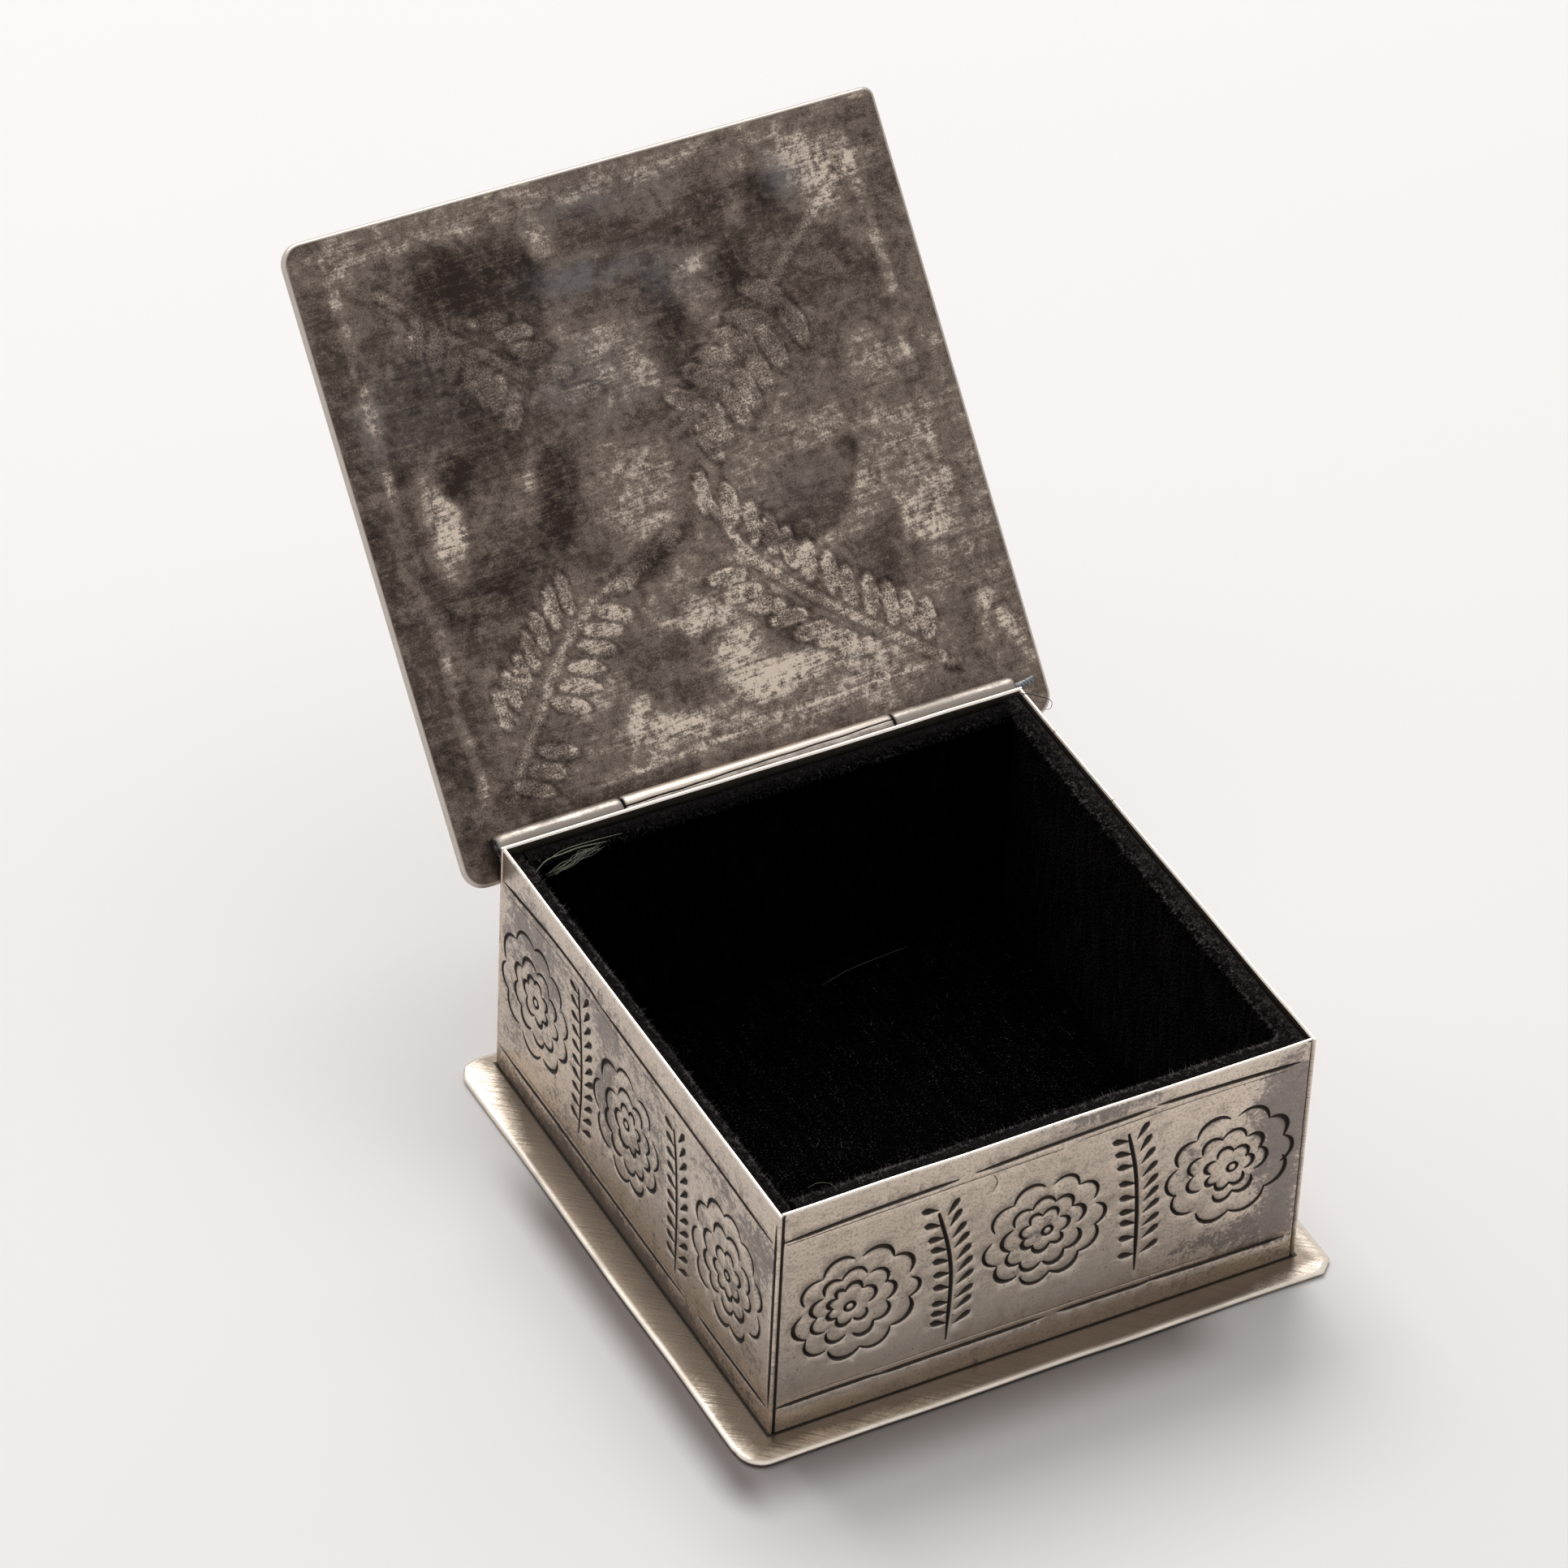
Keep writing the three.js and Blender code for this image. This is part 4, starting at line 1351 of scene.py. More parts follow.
@dataclass
class Lid:
    """The chased lid: a fern cross pressed through it, shallow dishes, filed edges and old tarnish.

    Places on it run right from its left edge and down from its front edge, as seen from inside.

    Attributes:
        corners: Radii of the front left, front right, rear right and rear left corners.
        sprigs: The pressed sprigs.
        dishes: Place, radius and depth of each shallow dish.
        tones: Place, half width, half height, turn and amount of each darker or paler patch.
        slates: Place, half width, half height and amount of each slate grey patch.
        dish_shading: Place and radius of the painted shade inside the large dish on its lower right side,
            with a painted highlight just outside it.
        bands: The tone across the lid's middle, at places down it.
        ridges: Place across, half width and strength of the two paler lines beside the side edges.
        roulette: Places across and down of the dotted line near the hinge.
    """

    width: float = 86.2
    length: float = 86.0
    left: float = -42.4
    reach: float = 81.35
    underside: float = 1.75
    sheet: float = 1.2
    edge: float = 0.55
    corners: tuple[float, float, float, float] = (3.0, 1.5, 3.0, 3.0)
    spacing: float = 0.43
    finish: Finish = LidSilver("tarnished_silver", (0.157, 0.125, 0.103), 0.40)
    sprigs: tuple[LidSprig, ...] = (
        LidSprig(((9.8, 75.5), (16.5, 66.5), (22, 59.5), (28, 54.8)),
                 ((11.5, 64.7), (13.5, 62.7), (15.5, 61), (17.5, 58.7), (19.5, 56.3), (22, 54),
                  (24.3, 52.7)), 91,
                 ((30.3, 57), (28, 58.7), (26.7, 60.7), (24.3, 62.7), (22.7, 64.7), (20.7, 66.7),
                  (17.3, 72), (15, 74), (12.7, 75.7)), -20, 5.4, 2.1),
        LidSprig(((28, 54.8), (35, 51.8), (41.5, 49.3)),
                 ((33.3, 53.3), (36.7, 51.5), (40, 49.8)), 28, (), 0, 4.6, 2.4, 0.8),
        LidSprig(((72.7, 74.7), (62, 66), (52, 56.7), (48.5, 50), (46.6, 44)),
                 ((46.7, 45.3), (50, 47.8), (52.3, 50.7), (54.3, 52.9), (56.3, 55.3), (58.3, 57.7),
                  (60.7, 60), (62.7, 62.3), (65.3, 64.3), (67.7, 66), (70, 67.7), (72.2, 69.4)), 84,
                 ((46.7, 56.7), (48.3, 59.3), (50.7, 61.7), (53.3, 64), (56.3, 66.5), (58.9, 68.4),
                  (62, 70.4)), -4, 5.6, 2.3),
        LidSprig(((82.5, 7), (74, 13.2), (66.5, 19.5), (56, 30.5), (45, 37)),
                 ((65.9, 27.1), (61.9, 29.4), (59.2, 32.1), (56.9, 33.9), (54.7, 35.7), (51.9, 37.1),
                  (49.7, 38.6)), 105,
                 ((62.6, 22.2), (59.9, 25.3), (57.1, 27.4), (54.4, 29.2), (51.6, 30.8),
                  (48.1, 33.3)), -30, 6.4, 2.9, 0.8),
        LidSprig(((11.5, 9.5), (18, 16), (24.7, 22), (33, 29)),
                 ((14.5, 16.1), (16.8, 18), (18.6, 19.9), (20.4, 22), (21.8, 24.3), (23.2, 25.8),
                  (24.7, 28.4)), 68,
                 ((24.7, 16.3), (28, 18.7), (29.3, 21.3), (31.5, 25), (34.5, 28.5)), -8, 5.4, 2.3, 0.8))
    dishes: tuple[tuple[float, float, float, float], ...] = (
        (19, 38.5, 7.5, 0.30), (57.5, 45, 12, 0.34), (35, 65.5, 8, 0.28), (37, 13, 9, 0.26))
    tones: tuple[tuple[float, float, float, float, float, float], ...] = (
        (26, 11.5, 7.5, 4.5, 0, -1.0), (21, 9, 5, 4, -30, -0.6), (14.5, 19.5, 6, 3.5, 10, -0.5),
        (15, 26, 7.5, 4, 15, -0.55), (18, 33, 6.5, 2.4, 25, -0.55), (14.3, 35.5, 1.6, 3.5, 10, -0.7),
        (26.3, 41.5, 2.6, 7, -8, -1.1), (20, 46.5, 7, 4, 5, -0.55), (16, 50, 6, 3, 0, -0.6),
        (14, 55.5, 5, 4, -20, -0.5), (8.4, 46, 1.9, 18, 0, -0.6), (36.5, 52, 5.5, 2.2, 25, -0.85),
        (35.5, 65.8, 7.5, 4.6, 0, -0.8), (69, 60.5, 5, 4, 10, -0.75), (53, 65.8, 4.8, 2.6, 30, -0.6),
        (48.3, 22, 2.3, 7, 2, -0.9), (42, 7.3, 5, 2.2, 0, -0.4), (57, 10.3, 5, 3.2, 30, -0.6),
        (60.3, 18.7, 2.6, 3.4, 0, -0.75), (67, 9.7, 2.4, 3.8, -35, -1.0), (2.4, 40, 2.4, 40, 0, -0.5),
        (77.5, 38.5, 2.5, 2.5, 0, -0.4), (76, 20, 1.5, 6, 35, -0.35), (40, 79.5, 30, 2.6, 0, -0.45),
        (12, 76.5, 5, 2, 0, -0.35), (18, 70, 5, 3, 40, -0.45), (24, 71, 3, 2, 0, -0.4),
        (78, 72, 3, 4, 0, -0.3), (73.2, 76.8, 0.5, 1.3, 30, -0.9), (2, 78, 0.5, 1.5, -20, -0.7),
        (40, 34, 5, 2, 10, -0.25), (31, 14, 1.4, 4, 0, -0.5), (28, 20.5, 4, 3, 0, -0.3),
        (51, 54, 4, 4, 0, 0.3), (68, 11, 5, 4, 30, -0.4), (12, 76, 5, 4, 0, -0.4),
        (68, 50, 4, 4, 0, 0.25), (4, 68, 4, 9, 0, -0.35), (34.7, 8.8, 2.7, 2.6, 0, 0.8),
        (34, 18.5, 2.6, 3.5, 30, 0.55), (42, 24.5, 5, 5, 0, 0.7), (44, 29, 3, 2.5, 0, 0.4),
        (54, 19.5, 3.6, 5.6, 5, 0.8), (57.5, 16, 2, 1.8, 0, 0.5), (69, 6, 5, 3.5, 0, 0.6),
        (75, 9, 6, 5, -20, 0.75), (64.5, 11.8, 2.3, 2.2, 0, 0.8), (73, 15, 4, 2, 25, 0.5),
        (79, 18, 2.5, 3, 0, 0.4), (11.2, 40, 1.9, 6, 2, 1.5), (24.2, 37.5, 1.0, 3, 15, 1.1),
        (22, 41, 2.5, 4, 0, 0.35), (37, 42.5, 5.5, 6, 0, 0.45), (42, 40, 3.5, 3, 0, 0.5),
        (40, 47.6, 1.5, 0.9, 0, 0.8), (75, 34.5, 4, 3.5, 0, 0.55), (76, 44, 3.5, 6.5, 0, 0.5),
        (77, 57, 3, 6.5, 0, 0.75), (45, 65.3, 2.6, 2.2, 0, 0.9), (50, 71.3, 5.5, 1.8, 4, 1.3),
        (46, 69, 4, 2.5, 0, 0.8), (33, 74, 4.6, 2, 8, 0.9), (42, 60.8, 6, 1.2, -3, 0.9),
        (28.5, 72, 0.7, 3.6, -24, 1.2), (24, 67, 2.6, 1.6, 0, 0.5), (6, 25, 2, 2.5, 0, 0.6),
        (9.5, 19.7, 1, 0.8, 0, 0.7), (12, 15.6, 1.6, 2.2, 0, 0.7), (62, 72.5, 5, 2, -10, 0.6),
        (84, 45, 1.5, 30, 0, 0.3), (84, 73, 1.2, 6, 25, 0.8), (40, 11.7, 4, 0.4, 4, 0.7),
        (19, 3.5, 14, 1.6, 0, 0.3), (48, 3, 12, 1.2, 0, 0.35), (60, 40, 7, 4, 0, 0.4),
        (66, 45, 4, 6, 0, 0.3), (52, 77, 18, 2, 0, 0.45), (4, 4, 5, 3, 0, 0.35), (52, 49, 3, 4, 0, 0.35),
        (24, 77, 6, 3, 0, -0.4), (30, 51.5, 4, 2.5, 0, -0.4), (68, 3.5, 6, 2, 0, -0.35),
        (82, 14, 4, 8, 0, -0.3), (18, 20.5, 8, 3, -45, 0.2), (36, 28, 5, 5, 0, 0.35),
        (36, 65, 4, 4, 0, 0.35), (68, 60, 4, 3, 0, 0.3), (4, 76, 3, 3, 0, 0.35))
    slates: tuple[Patch, ...] = (
        (39.5, 14, 8.5, 2.3, 0.75), (14, 20, 6, 3.5, 0.15), (14, 26, 7, 4, 0.2), (36, 27, 7, 4, 0.5),
        (51, 17, 4, 3, 0.5), (70, 8.5, 3, 3, 0.7), (6, 26, 2.5, 4, 0.6), (44, 5, 8, 2, 0.4),
        (60, 48, 5, 3, 0.25))
    dish_shading: Place = (58.0, 44.0, 11.8)
    bands: tuple[Point, ...] = ((3, 0.14), (13, -0.32), (24, -0.28), (40, -0.06), (58, 0.28), (72, 0.44),
                                (79, 0.20))
    ridges: tuple[Place, Place] = ((5.7, 0.9, 0.42), (80.4, 0.9, 0.38))
    roulette: tuple[Point, ...] = ((19, 78), (46.5, 76), (71, 75), (78, 76.5))

    def leaf_field(self, x: np.ndarray, y: np.ndarray) -> tuple[np.ndarray, np.ndarray, np.ndarray]:
        """Measures the leaves and stems.

        Args:
            x: Places across the lid.
            y: Places down the lid.

        Returns:
            How full a leaf is at each place, and how near the place is to a leaf's dark outline, which is
            oxide and painted shade of the relief, and to its pale edge, which is worn metal and a painted
            highlight.
        """
        fill, line, crest = (np.zeros(x.shape) for _ in range(3))
        ragged = 0.16 * Noise(37).layers(x, y, 1.5, 3)
        for sprig in self.sprigs:
            for middle_x, middle_y, turn in sprig.leaves():
                dx, dy = x - middle_x, middle_y - y
                along = (dx * math.cos(turn) + dy * math.sin(turn)) / (sprig.long / 2)
                across = (dy * math.cos(turn) - dx * math.sin(turn)) / (sprig.wide / 2)
                far = np.sqrt(along ** 2 + across ** 2) + ragged
                fill = np.maximum(fill, sprig.faint * smooth_step(far, 1.10, 0.80))
                line = np.maximum(line, sprig.faint * np.exp(-((far - 1.20) / 0.15) ** 2))
                crest = np.maximum(crest, sprig.faint ** 3 * np.exp(-((far - 0.90) / 0.14) ** 2))
            spine = curve_through(sprig.stem, 0.4)
            near = np.full(x.shape, 99.0)
            for px, py in spine:
                near = np.minimum(near, np.hypot(x - px, y - py))
            fill = np.maximum(fill, 0.75 * sprig.faint * smooth_step(near, 0.9, 0.35))
            line = np.maximum(line, 0.7 * sprig.faint * np.exp(-((near - 1.0) / 0.25) ** 2))
        return fill, line * (1 - fill), crest

    def height(self, x: np.ndarray, y: np.ndarray, fill: np.ndarray) -> np.ndarray:
        """Gives how far the sheet is pressed inwards at each place.

        Args:
            x: Places across the lid.
            y: Places down the lid.
            fill: The share of leaf at each place.

        Returns:
            The heights.
        """
        swell = 0.10 * Noise(31).layers(x, y, 26.0, 3)
        for middle_x, middle_y, radius, depth in self.dishes:
            far = np.hypot(x - middle_x, y - middle_y) / radius
            swell = swell - depth * smooth_step(far, 1.15, 0.55)
        inset = np.minimum.reduce([x, self.width - x, y, self.length - y])
        rest = smooth_step(inset, 5.6, 9.0) * smooth_step(self.reach - y, 4.0, 9.0)
        return rest * (swell + 0.24 * fill)

    def tone(self, x: np.ndarray, y: np.ndarray, leaf: tuple[np.ndarray, ...]) -> np.ndarray:
        """Gives the inside's tone at each place, from dark below 0 to pale above it.

        Args:
            x: Places across the lid.
            y: Places down the lid.
            leaf: How full a leaf is there, and how near its dark outline and pale edge are; these carry
                painted shade and highlight of the relief.

        Returns:
            The tone.
        """
        drift, rag = Noise(32), Noise(36)
        bent_x = x + 2.4 * drift.layers(x, y, 8.0, 3) + 1.0 * rag.layers(x, y, 2.4, 3)
        bent_y = y + 1.8 * drift.layers(y + 40, x, 7.0, 3) + 0.8 * rag.layers(y, x, 2.0, 3)
        total = np.zeros(x.shape)
        for middle_x, middle_y, wide, tall, turn, amount in self.tones:
            c, s = math.cos(math.radians(turn)), math.sin(math.radians(turn))
            dx, dy = bent_x - middle_x, middle_y - bent_y
            far = np.hypot((dx * c + dy * s) / wide, (dy * c - dx * s) / tall)
            total = total + amount * smooth_step(far, 1.75, 0.2)
        total = 1.05 * total * (1 + 0.8 * rag.layers(x + 30, y, 3.2, 4))
        middle = smooth_step(np.minimum(x, self.width - x), -2.0, 24.0)
        total = total + middle * np.interp(y, *zip(*self.bands))
        brush = Noise(33).layers(x * 0.16, y * 1.4, 2.0, 4)
        brush = brush + 0.6 * Noise(34).layers(x * 0.3, y * 2.4, 2.0, 3)
        fill, line, crest = leaf
        spots = rag.layers(x, y, 0.9, 2)
        total = total + 0.3 * brush + 0.3 * spots
        # Leaf outlines painted darker and edges paler: partly oxide and worn metal, partly the relief's
        # painted shade and highlight.
        total = total + 0.38 * fill - 0.65 * line + (0.40 + 0.65 * spots) * crest
        # Painted shade and highlight at the large dish: darker inside its rim on the lower right side,
        # paler just outside.
        moon_x, moon_y, moon_radius = self.dish_shading
        far = np.hypot(x - moon_x, y - moon_y) / moon_radius + 0.07 * rag.layers(x, y, 3.0, 3)
        lower = smooth_step(y - moon_y + 0.5 * (x - moon_x), 1.0, 7.0)
        total = total + lower * (0.30 * smooth_step(far, 1.4, 1.02) * smooth_step(far, 0.95, 1.0)
                                 - 0.75 * smooth_step(far, 1.03, 0.90) * smooth_step(far, 0.1, 0.9))
        # Two paler lines beside the side edges.
        for place, half, strength in self.ridges:
            worn = smooth_step(np.abs(x - place - 0.4 * drift.at(y, x, 9.0)), 1.3 * half, 0.5 * half)
            ends = smooth_step(y, 4, 8) * smooth_step(y, 80, 74)
            total = total + strength * worn * ends * (1 + 1.6 * rag.layers(y, x, 2.2, 2))
        return total

    def rouletted(self, x: np.ndarray, y: np.ndarray) -> np.ndarray:
        """Gives the dotted line near the hinge, bright at each dot.

        Args:
            x: Places across the lid.
            y: Places down the lid.

        Returns:
            The brightness, from 0 to 1.
        """
        level = np.interp(x, *zip(*self.roulette))
        on = smooth_step(x, 18, 24) * smooth_step(x, 78, 74)
        dots = 0.65 + 0.35 * np.cos(2 * math.pi * x / 0.95)
        return on * dots * np.exp(-((y - level) / 0.22) ** 2)

    def rows(self) -> np.ndarray:
        """Gives the places down the lid at which its faces are drawn, closer in the corners.

        Returns:
            The places down the lid.
        """
        big = max(self.corners) - self.edge
        bend = self.edge + big * (1 - np.cos(np.linspace(0, math.pi / 2, 9)))
        count = int((self.length - 2 * bend[-1]) / self.spacing)
        middle = np.linspace(bend[-1], self.length - bend[-1], count)
        return np.concatenate([bend[:-1], middle, self.length - bend[::-1][1:]])

    def face(self) -> tuple[np.ndarray, np.ndarray]:
        """Gives the places across and down a face, one table each, inside the filed edge.

        Returns:
            The table of places across and the table of places down.
        """
        radii = [radius - self.edge for radius in self.corners]
        down = self.rows()

        def pulled_in(first: float, last: float) -> np.ndarray:
            """Gives how far one side's round corners pull each row in.

            Args:
                first: Radius of the side's corner at the front edge.
                last: Radius of its corner at the hinge.

            Returns:
                How far each row is pulled in.
            """
            top, foot = down - self.edge, self.length - self.edge - down
            near = np.where(top < foot, top, foot)
            radius = np.where(top < foot, first, last)
            bend = np.clip(radius - near, 0, radius)
            return radius - np.sqrt(np.maximum(radius ** 2 - bend ** 2, 0))

        start = self.edge + pulled_in(radii[0], radii[3])
        end = self.width - self.edge - pulled_in(radii[1], radii[2])
        share = np.linspace(0, 1, int(self.width / self.spacing))
        return start[:, None] + share * (end - start)[:, None], np.repeat(down[:, None], len(share), 1)

    def outward(self, ring: np.ndarray) -> np.ndarray:
        """Gives the outward direction at places round the face's edge.

        Args:
            ring: The places.

        Returns:
            One direction for each place.
        """
        top_left, top_right, foot_right, foot_left = self.corners
        high = ring[:, 1] < self.length / 2
        west = np.where(high, top_left, foot_left)
        east = np.where(high, top_right, foot_right)
        radius = np.where(ring[:, 0] < self.width / 2, west, east)
        core = np.column_stack([np.clip(ring[:, 0], radius, self.width - radius),
                                np.clip(ring[:, 1], radius, self.length - radius)])
        way = ring - core
        return way / np.maximum(np.linalg.norm(way, axis=1), 1e-9)[:, None]

    def place(self, x: np.ndarray, y: np.ndarray, above: np.ndarray) -> np.ndarray:
        """Puts places on the lid into the box, with the lid open at its stop.

        Args:
            x: Places across the lid.
            y: Places down the lid.
            above: Height over the hinge axis when the lid is shut.

        Returns:
            Points in the box's frame.
        """
        forward, c, s = y - self.reach, math.cos(LID_ANGLE), math.sin(LID_ANGLE)
        return np.column_stack([x + self.left, HINGE_Y + forward * c + above * s,
                                HINGE_Z - forward * s + above * c])

    def build(self) -> bpy.types.Object:
        """Makes the lid's two faces and its filed edge.

        Returns:
            The piece.
        """
        x, y = self.face()
        fill, line, crest = self.leaf_field(x, y)
        sunk = self.height(x, y, fill)
        shape = x.shape
        ring = np.concatenate([np.arange(shape[1]), np.arange(1, shape[0]) * shape[1] + shape[1] - 1,
                               (shape[0] - 1) * shape[1] + np.arange(shape[1] - 2, -1, -1),
                               np.arange(shape[0] - 2, 0, -1) * shape[1]])
        x, y, fill, line, crest, sunk = (table.ravel() for table in (x, y, fill, line, crest, sunk))
        dots = self.rouletted(x, y)
        slate = sum(amount * np.exp(-((x - px) / wide) ** 2 - ((y - py) / tall) ** 2)
                    for px, py, wide, tall, amount in self.slates)
        draft = Draft()
        inside = draft.add(self.place(x, y, self.underside - sunk), flat=np.column_stack([x, y, 0 * x]),
                           tone=self.tone(x, y, (fill, line, crest)) + 1.3 * dots,
                           slate=np.minimum(slate, 1), leaf=fill)
        plain = -0.05 + 0.35 * Noise(35).layers(x, y, 18.0, 4)
        outside = draft.add(self.place(x, y, self.underside + self.sheet - sunk),
                            flat=np.column_stack([x, y, 0 * x + 50]), tone=plain + 0.25,
                            groove=np.clip(1.3 * line, 0, 1), leaf=0.5 * fill)
        for numbers in (inside, outside):
            draft.grid(numbers.reshape(shape))
        edge = np.column_stack([x[ring], y[ring]])
        way = self.outward(edge)
        loops = [inside[ring]]
        # The filed edge is painted paler and rubbed bright: worn metal and a painted highlight.
        for angle in np.radians([25, 50, 75, 105, 130, 155]):
            out = edge + way * self.edge * math.sin(angle)
            half = self.sheet / 2
            rise = half - math.copysign(half - self.edge, math.cos(angle)) - self.edge * math.cos(angle)
            loops.append(draft.add(self.place(out[:, 0], out[:, 1], self.underside + rise),
                                   flat=np.column_stack([out, 0 * out[:, :1] + 25]), tone=0.3,
                                   rub=0.75))
        loops.append(outside[ring])
        draft.grid(loops, True)
        return draft.piece("lid_sheet", self.finish, Body.LID, Slot.TARNISHED, ["lid_plate"])


@dataclass(frozen=True)
class BrushedSilver(Finish):
    """Filed and brushed silver: diagonal file marks, dark solder and a painted shade at the walls' foot,
    bright edges that are partly a painted highlight.
    """

    solder: Colour = (0.07, 0.06, 0.05)
    tarnish: Colour = (0.16, 0.128, 0.10)
    pit: Colour = (0.13, 0.14, 0.115)
    bright: Colour = (0.80, 0.73, 0.64)

    def join(self, nodes: Nodes, shader: bpy.types.Node) -> None:
        """Joins file marks, dark patches with the painted shade, solder, and rubbed edges with a painted
        highlight.

        Args:
            nodes: Adds and joins the nodes.
            shader: The finish's shader.
        """
        place = nodes.flat()
        cloud = nodes.noise(place, 6.0, 5.0, 0.65, 0.5)
        grain = nodes.noise(place, 0.45, 4.0, 0.65)
        filed = nodes.noise(nodes.flat((0.10, 4.0, 1.0), 38.0), 1.0, 4.0, 0.65)
        cross = nodes.noise(nodes.flat((0.07, 3.2, 1.0), -20.0), 1.0, 3.0, 0.6)
        # The kept darkening holds the dark patches and the painted shade at the walls' foot.
        stain = nodes.total((nodes.kept("stain"), 1.0), (cloud, 0.9), (grain, 0.5), (filed, 0.7))
        amount = nodes.span(stain, 1.15, 1.95, 0.0, 0.9)
        darker = self.tint(0.42)
        colour = nodes.blend(nodes.span(filed, 0.46, 0.66, 0.0, 0.75), self.colour, darker)
        colour = nodes.blend(nodes.span(cross, 0.58, 0.68, 0.0, 0.6), colour, darker)
        colour = nodes.blend(amount, colour, self.tarnish)
        speck = nodes.span(nodes.noise(place, 0.7, 2.0, 0.5), 0.68, 0.74, 0.0, 0.7)
        colour = nodes.blend(speck, colour, self.pit)
        # Rubbed edges, brightened partly as a painted highlight.
        colour = nodes.blend(nodes.kept("rub"), colour, self.bright)
        dark = nodes.span(nodes.total((nodes.kept("groove"), 1.0), (grain, 0.5), base=-0.25), 0.2, 0.8)
        nodes.feed(shader.inputs["Base Color"], nodes.blend(dark, colour, self.solder))
        rough = nodes.total((filed, 0.16), (amount, 0.12), (dark, 0.25), base=self.roughness - 0.08)
        nodes.feed(shader.inputs["Roughness"], rough)
        height = nodes.total((filed, 0.9), (cross, 0.6), (grain, 0.4))
        nodes.feed(shader.inputs["Normal"], nodes.bump(height, 0.045))


@dataclass
class BasePlate:
    """The plate under the walls, wider all round, with convex filed flanges and hand-cut edges.

    Attributes:
        run: How far in from the edge the flange curves.
        drop: How far the flange falls to the edge.
        dark_patches: Place, reach and amount of each dark patch.
        outer_rings: Inset and height of the rings from under the middle to the edge's upper side.
        flange_rings: Insets of the rings over the flange.
        foot_rings: Distances outside the walls of the rings at their foot.
    """

    left: float = -43.0
    right: float = 42.0
    front: float = -42.1
    rear: float = 40.9
    sheet: float = 1.0
    round_corner: float = 3.5
    clipped_corner: float = 2.0
    run: float = 2.4
    drop: float = 0.4
    finish: Finish = BrushedSilver("brushed_silver", (0.66, 0.58, 0.49), 0.32)
    dark_patches: tuple[tuple[float, float, float, float], ...] = (
        (-40.5, -16, 11, 1.3), (-40, 16, 11, 0.9), (-39.2, -34, 5, 0.7), (-10, -40, 26, 0.62),
        (20, -39.5, 15, 1.0), (4, -40, 12, 0.4), (40.5, 10, 9, 0.5), (10, 40, 20, 0.5),
        (-41.5, 2, 11, 1.5))
    outer_rings: tuple[Point, ...] = (
        (6.0, 0.0), (2.4, 0.0), (1.4, 0.05), (0.6, 0.13), (0.15, 0.24), (0.02, 0.33), (0.0, 0.45),
        (0.025, 0.60), (0.08, 0.66))
    flange_rings: tuple[float, ...] = (0.25, 0.45, 0.8, 1.2, 1.6)
    foot_rings: tuple[float, ...] = (0.25, 0.08, -0.3, -3.0)

    @staticmethod
    def loop(low: Point, high: Point, radius: float, cut: float) -> np.ndarray:
        """Gives a line round a rectangle with three round corners and one clipped.

        Args:
            low: Its front left corner.
            high: Its rear right corner.
            radius: Radius of the round corners.
            cut: How far the front right corner is clipped.

        Returns:
            Its points, counter-clockwise from the front left corner, always as many.
        """
        turn = np.radians(np.linspace(0, 90, 17))
        corner = np.array([[high[0] - cut, low[1]], [high[0], low[1] + cut]])
        bends = []
        for x, y, start in ((low[0] + radius, low[1] + radius, 180),
                            (high[0] - radius, high[1] - radius, 0),
                            (low[0] + radius, high[1] - radius, 90)):
            angle = turn + math.radians(start)
            bends.append(np.column_stack([x + radius * np.cos(angle), y + radius * np.sin(angle)]))
        bends.insert(1, corner[0] + np.linspace(0, 1, 9)[:, None] * (corner[1] - corner[0]))
        rows = []
        for this, after in zip(bends, [*bends[1:], bends[0]]):
            share = np.linspace(0, 1, 82)[1:-1, None]
            rows += [this, this[-1] + share * (after[0] - this[-1])]
        return np.vstack(rows)

    def edge(self, inset: float) -> np.ndarray:
        """Gives the hand-cut line round the plate.

        Args:
            inset: How far inside the plate's edge it runs.

        Returns:
            Its points.
        """
        line = self.loop((self.left + inset, self.front + inset), (self.right - inset, self.rear - inset),
                         max(self.round_corner - inset, 0.3), self.clipped_corner + 0.414 * inset)
        middle = np.array([(self.left + self.right) / 2, (self.front + self.rear) / 2])
        waver = 0.16 * Noise(53).layers(np.arange(len(line)) * 0.9, np.zeros(len(line)), 13.0, 2)
        return line + (line - middle) / 42 * waver[:, None]

    def foot(self, offset: float) -> np.ndarray:
        """Gives the line round the walls' foot, at a distance outside it."""
        return self.loop((-HALF_WIDTH - offset, FRONT_FACE - offset),
                         (HALF_WIDTH + offset, REAR_FACE + offset), 0.3, 0.3)

    def top(self, line: np.ndarray) -> np.ndarray:
        """Gives the convex flange's height at places on the plate.

        Args:
            line: The places.

        Returns:
            The heights.
        """
        inset = np.minimum.reduce([line[:, 0] - self.left, self.right - line[:, 0],
                                   line[:, 1] - self.front, self.rear - line[:, 1]])
        short = np.clip(1 - inset / self.run, 0, 1)
        swell = 0.06 * Noise(51).layers(line[:, 0], line[:, 1], 9.0, 2) * smooth_step(inset, 0.3, 1.5)
        return self.sheet - self.drop * (1 - np.sqrt(1 - short ** 2)) + np.minimum(swell, 0)

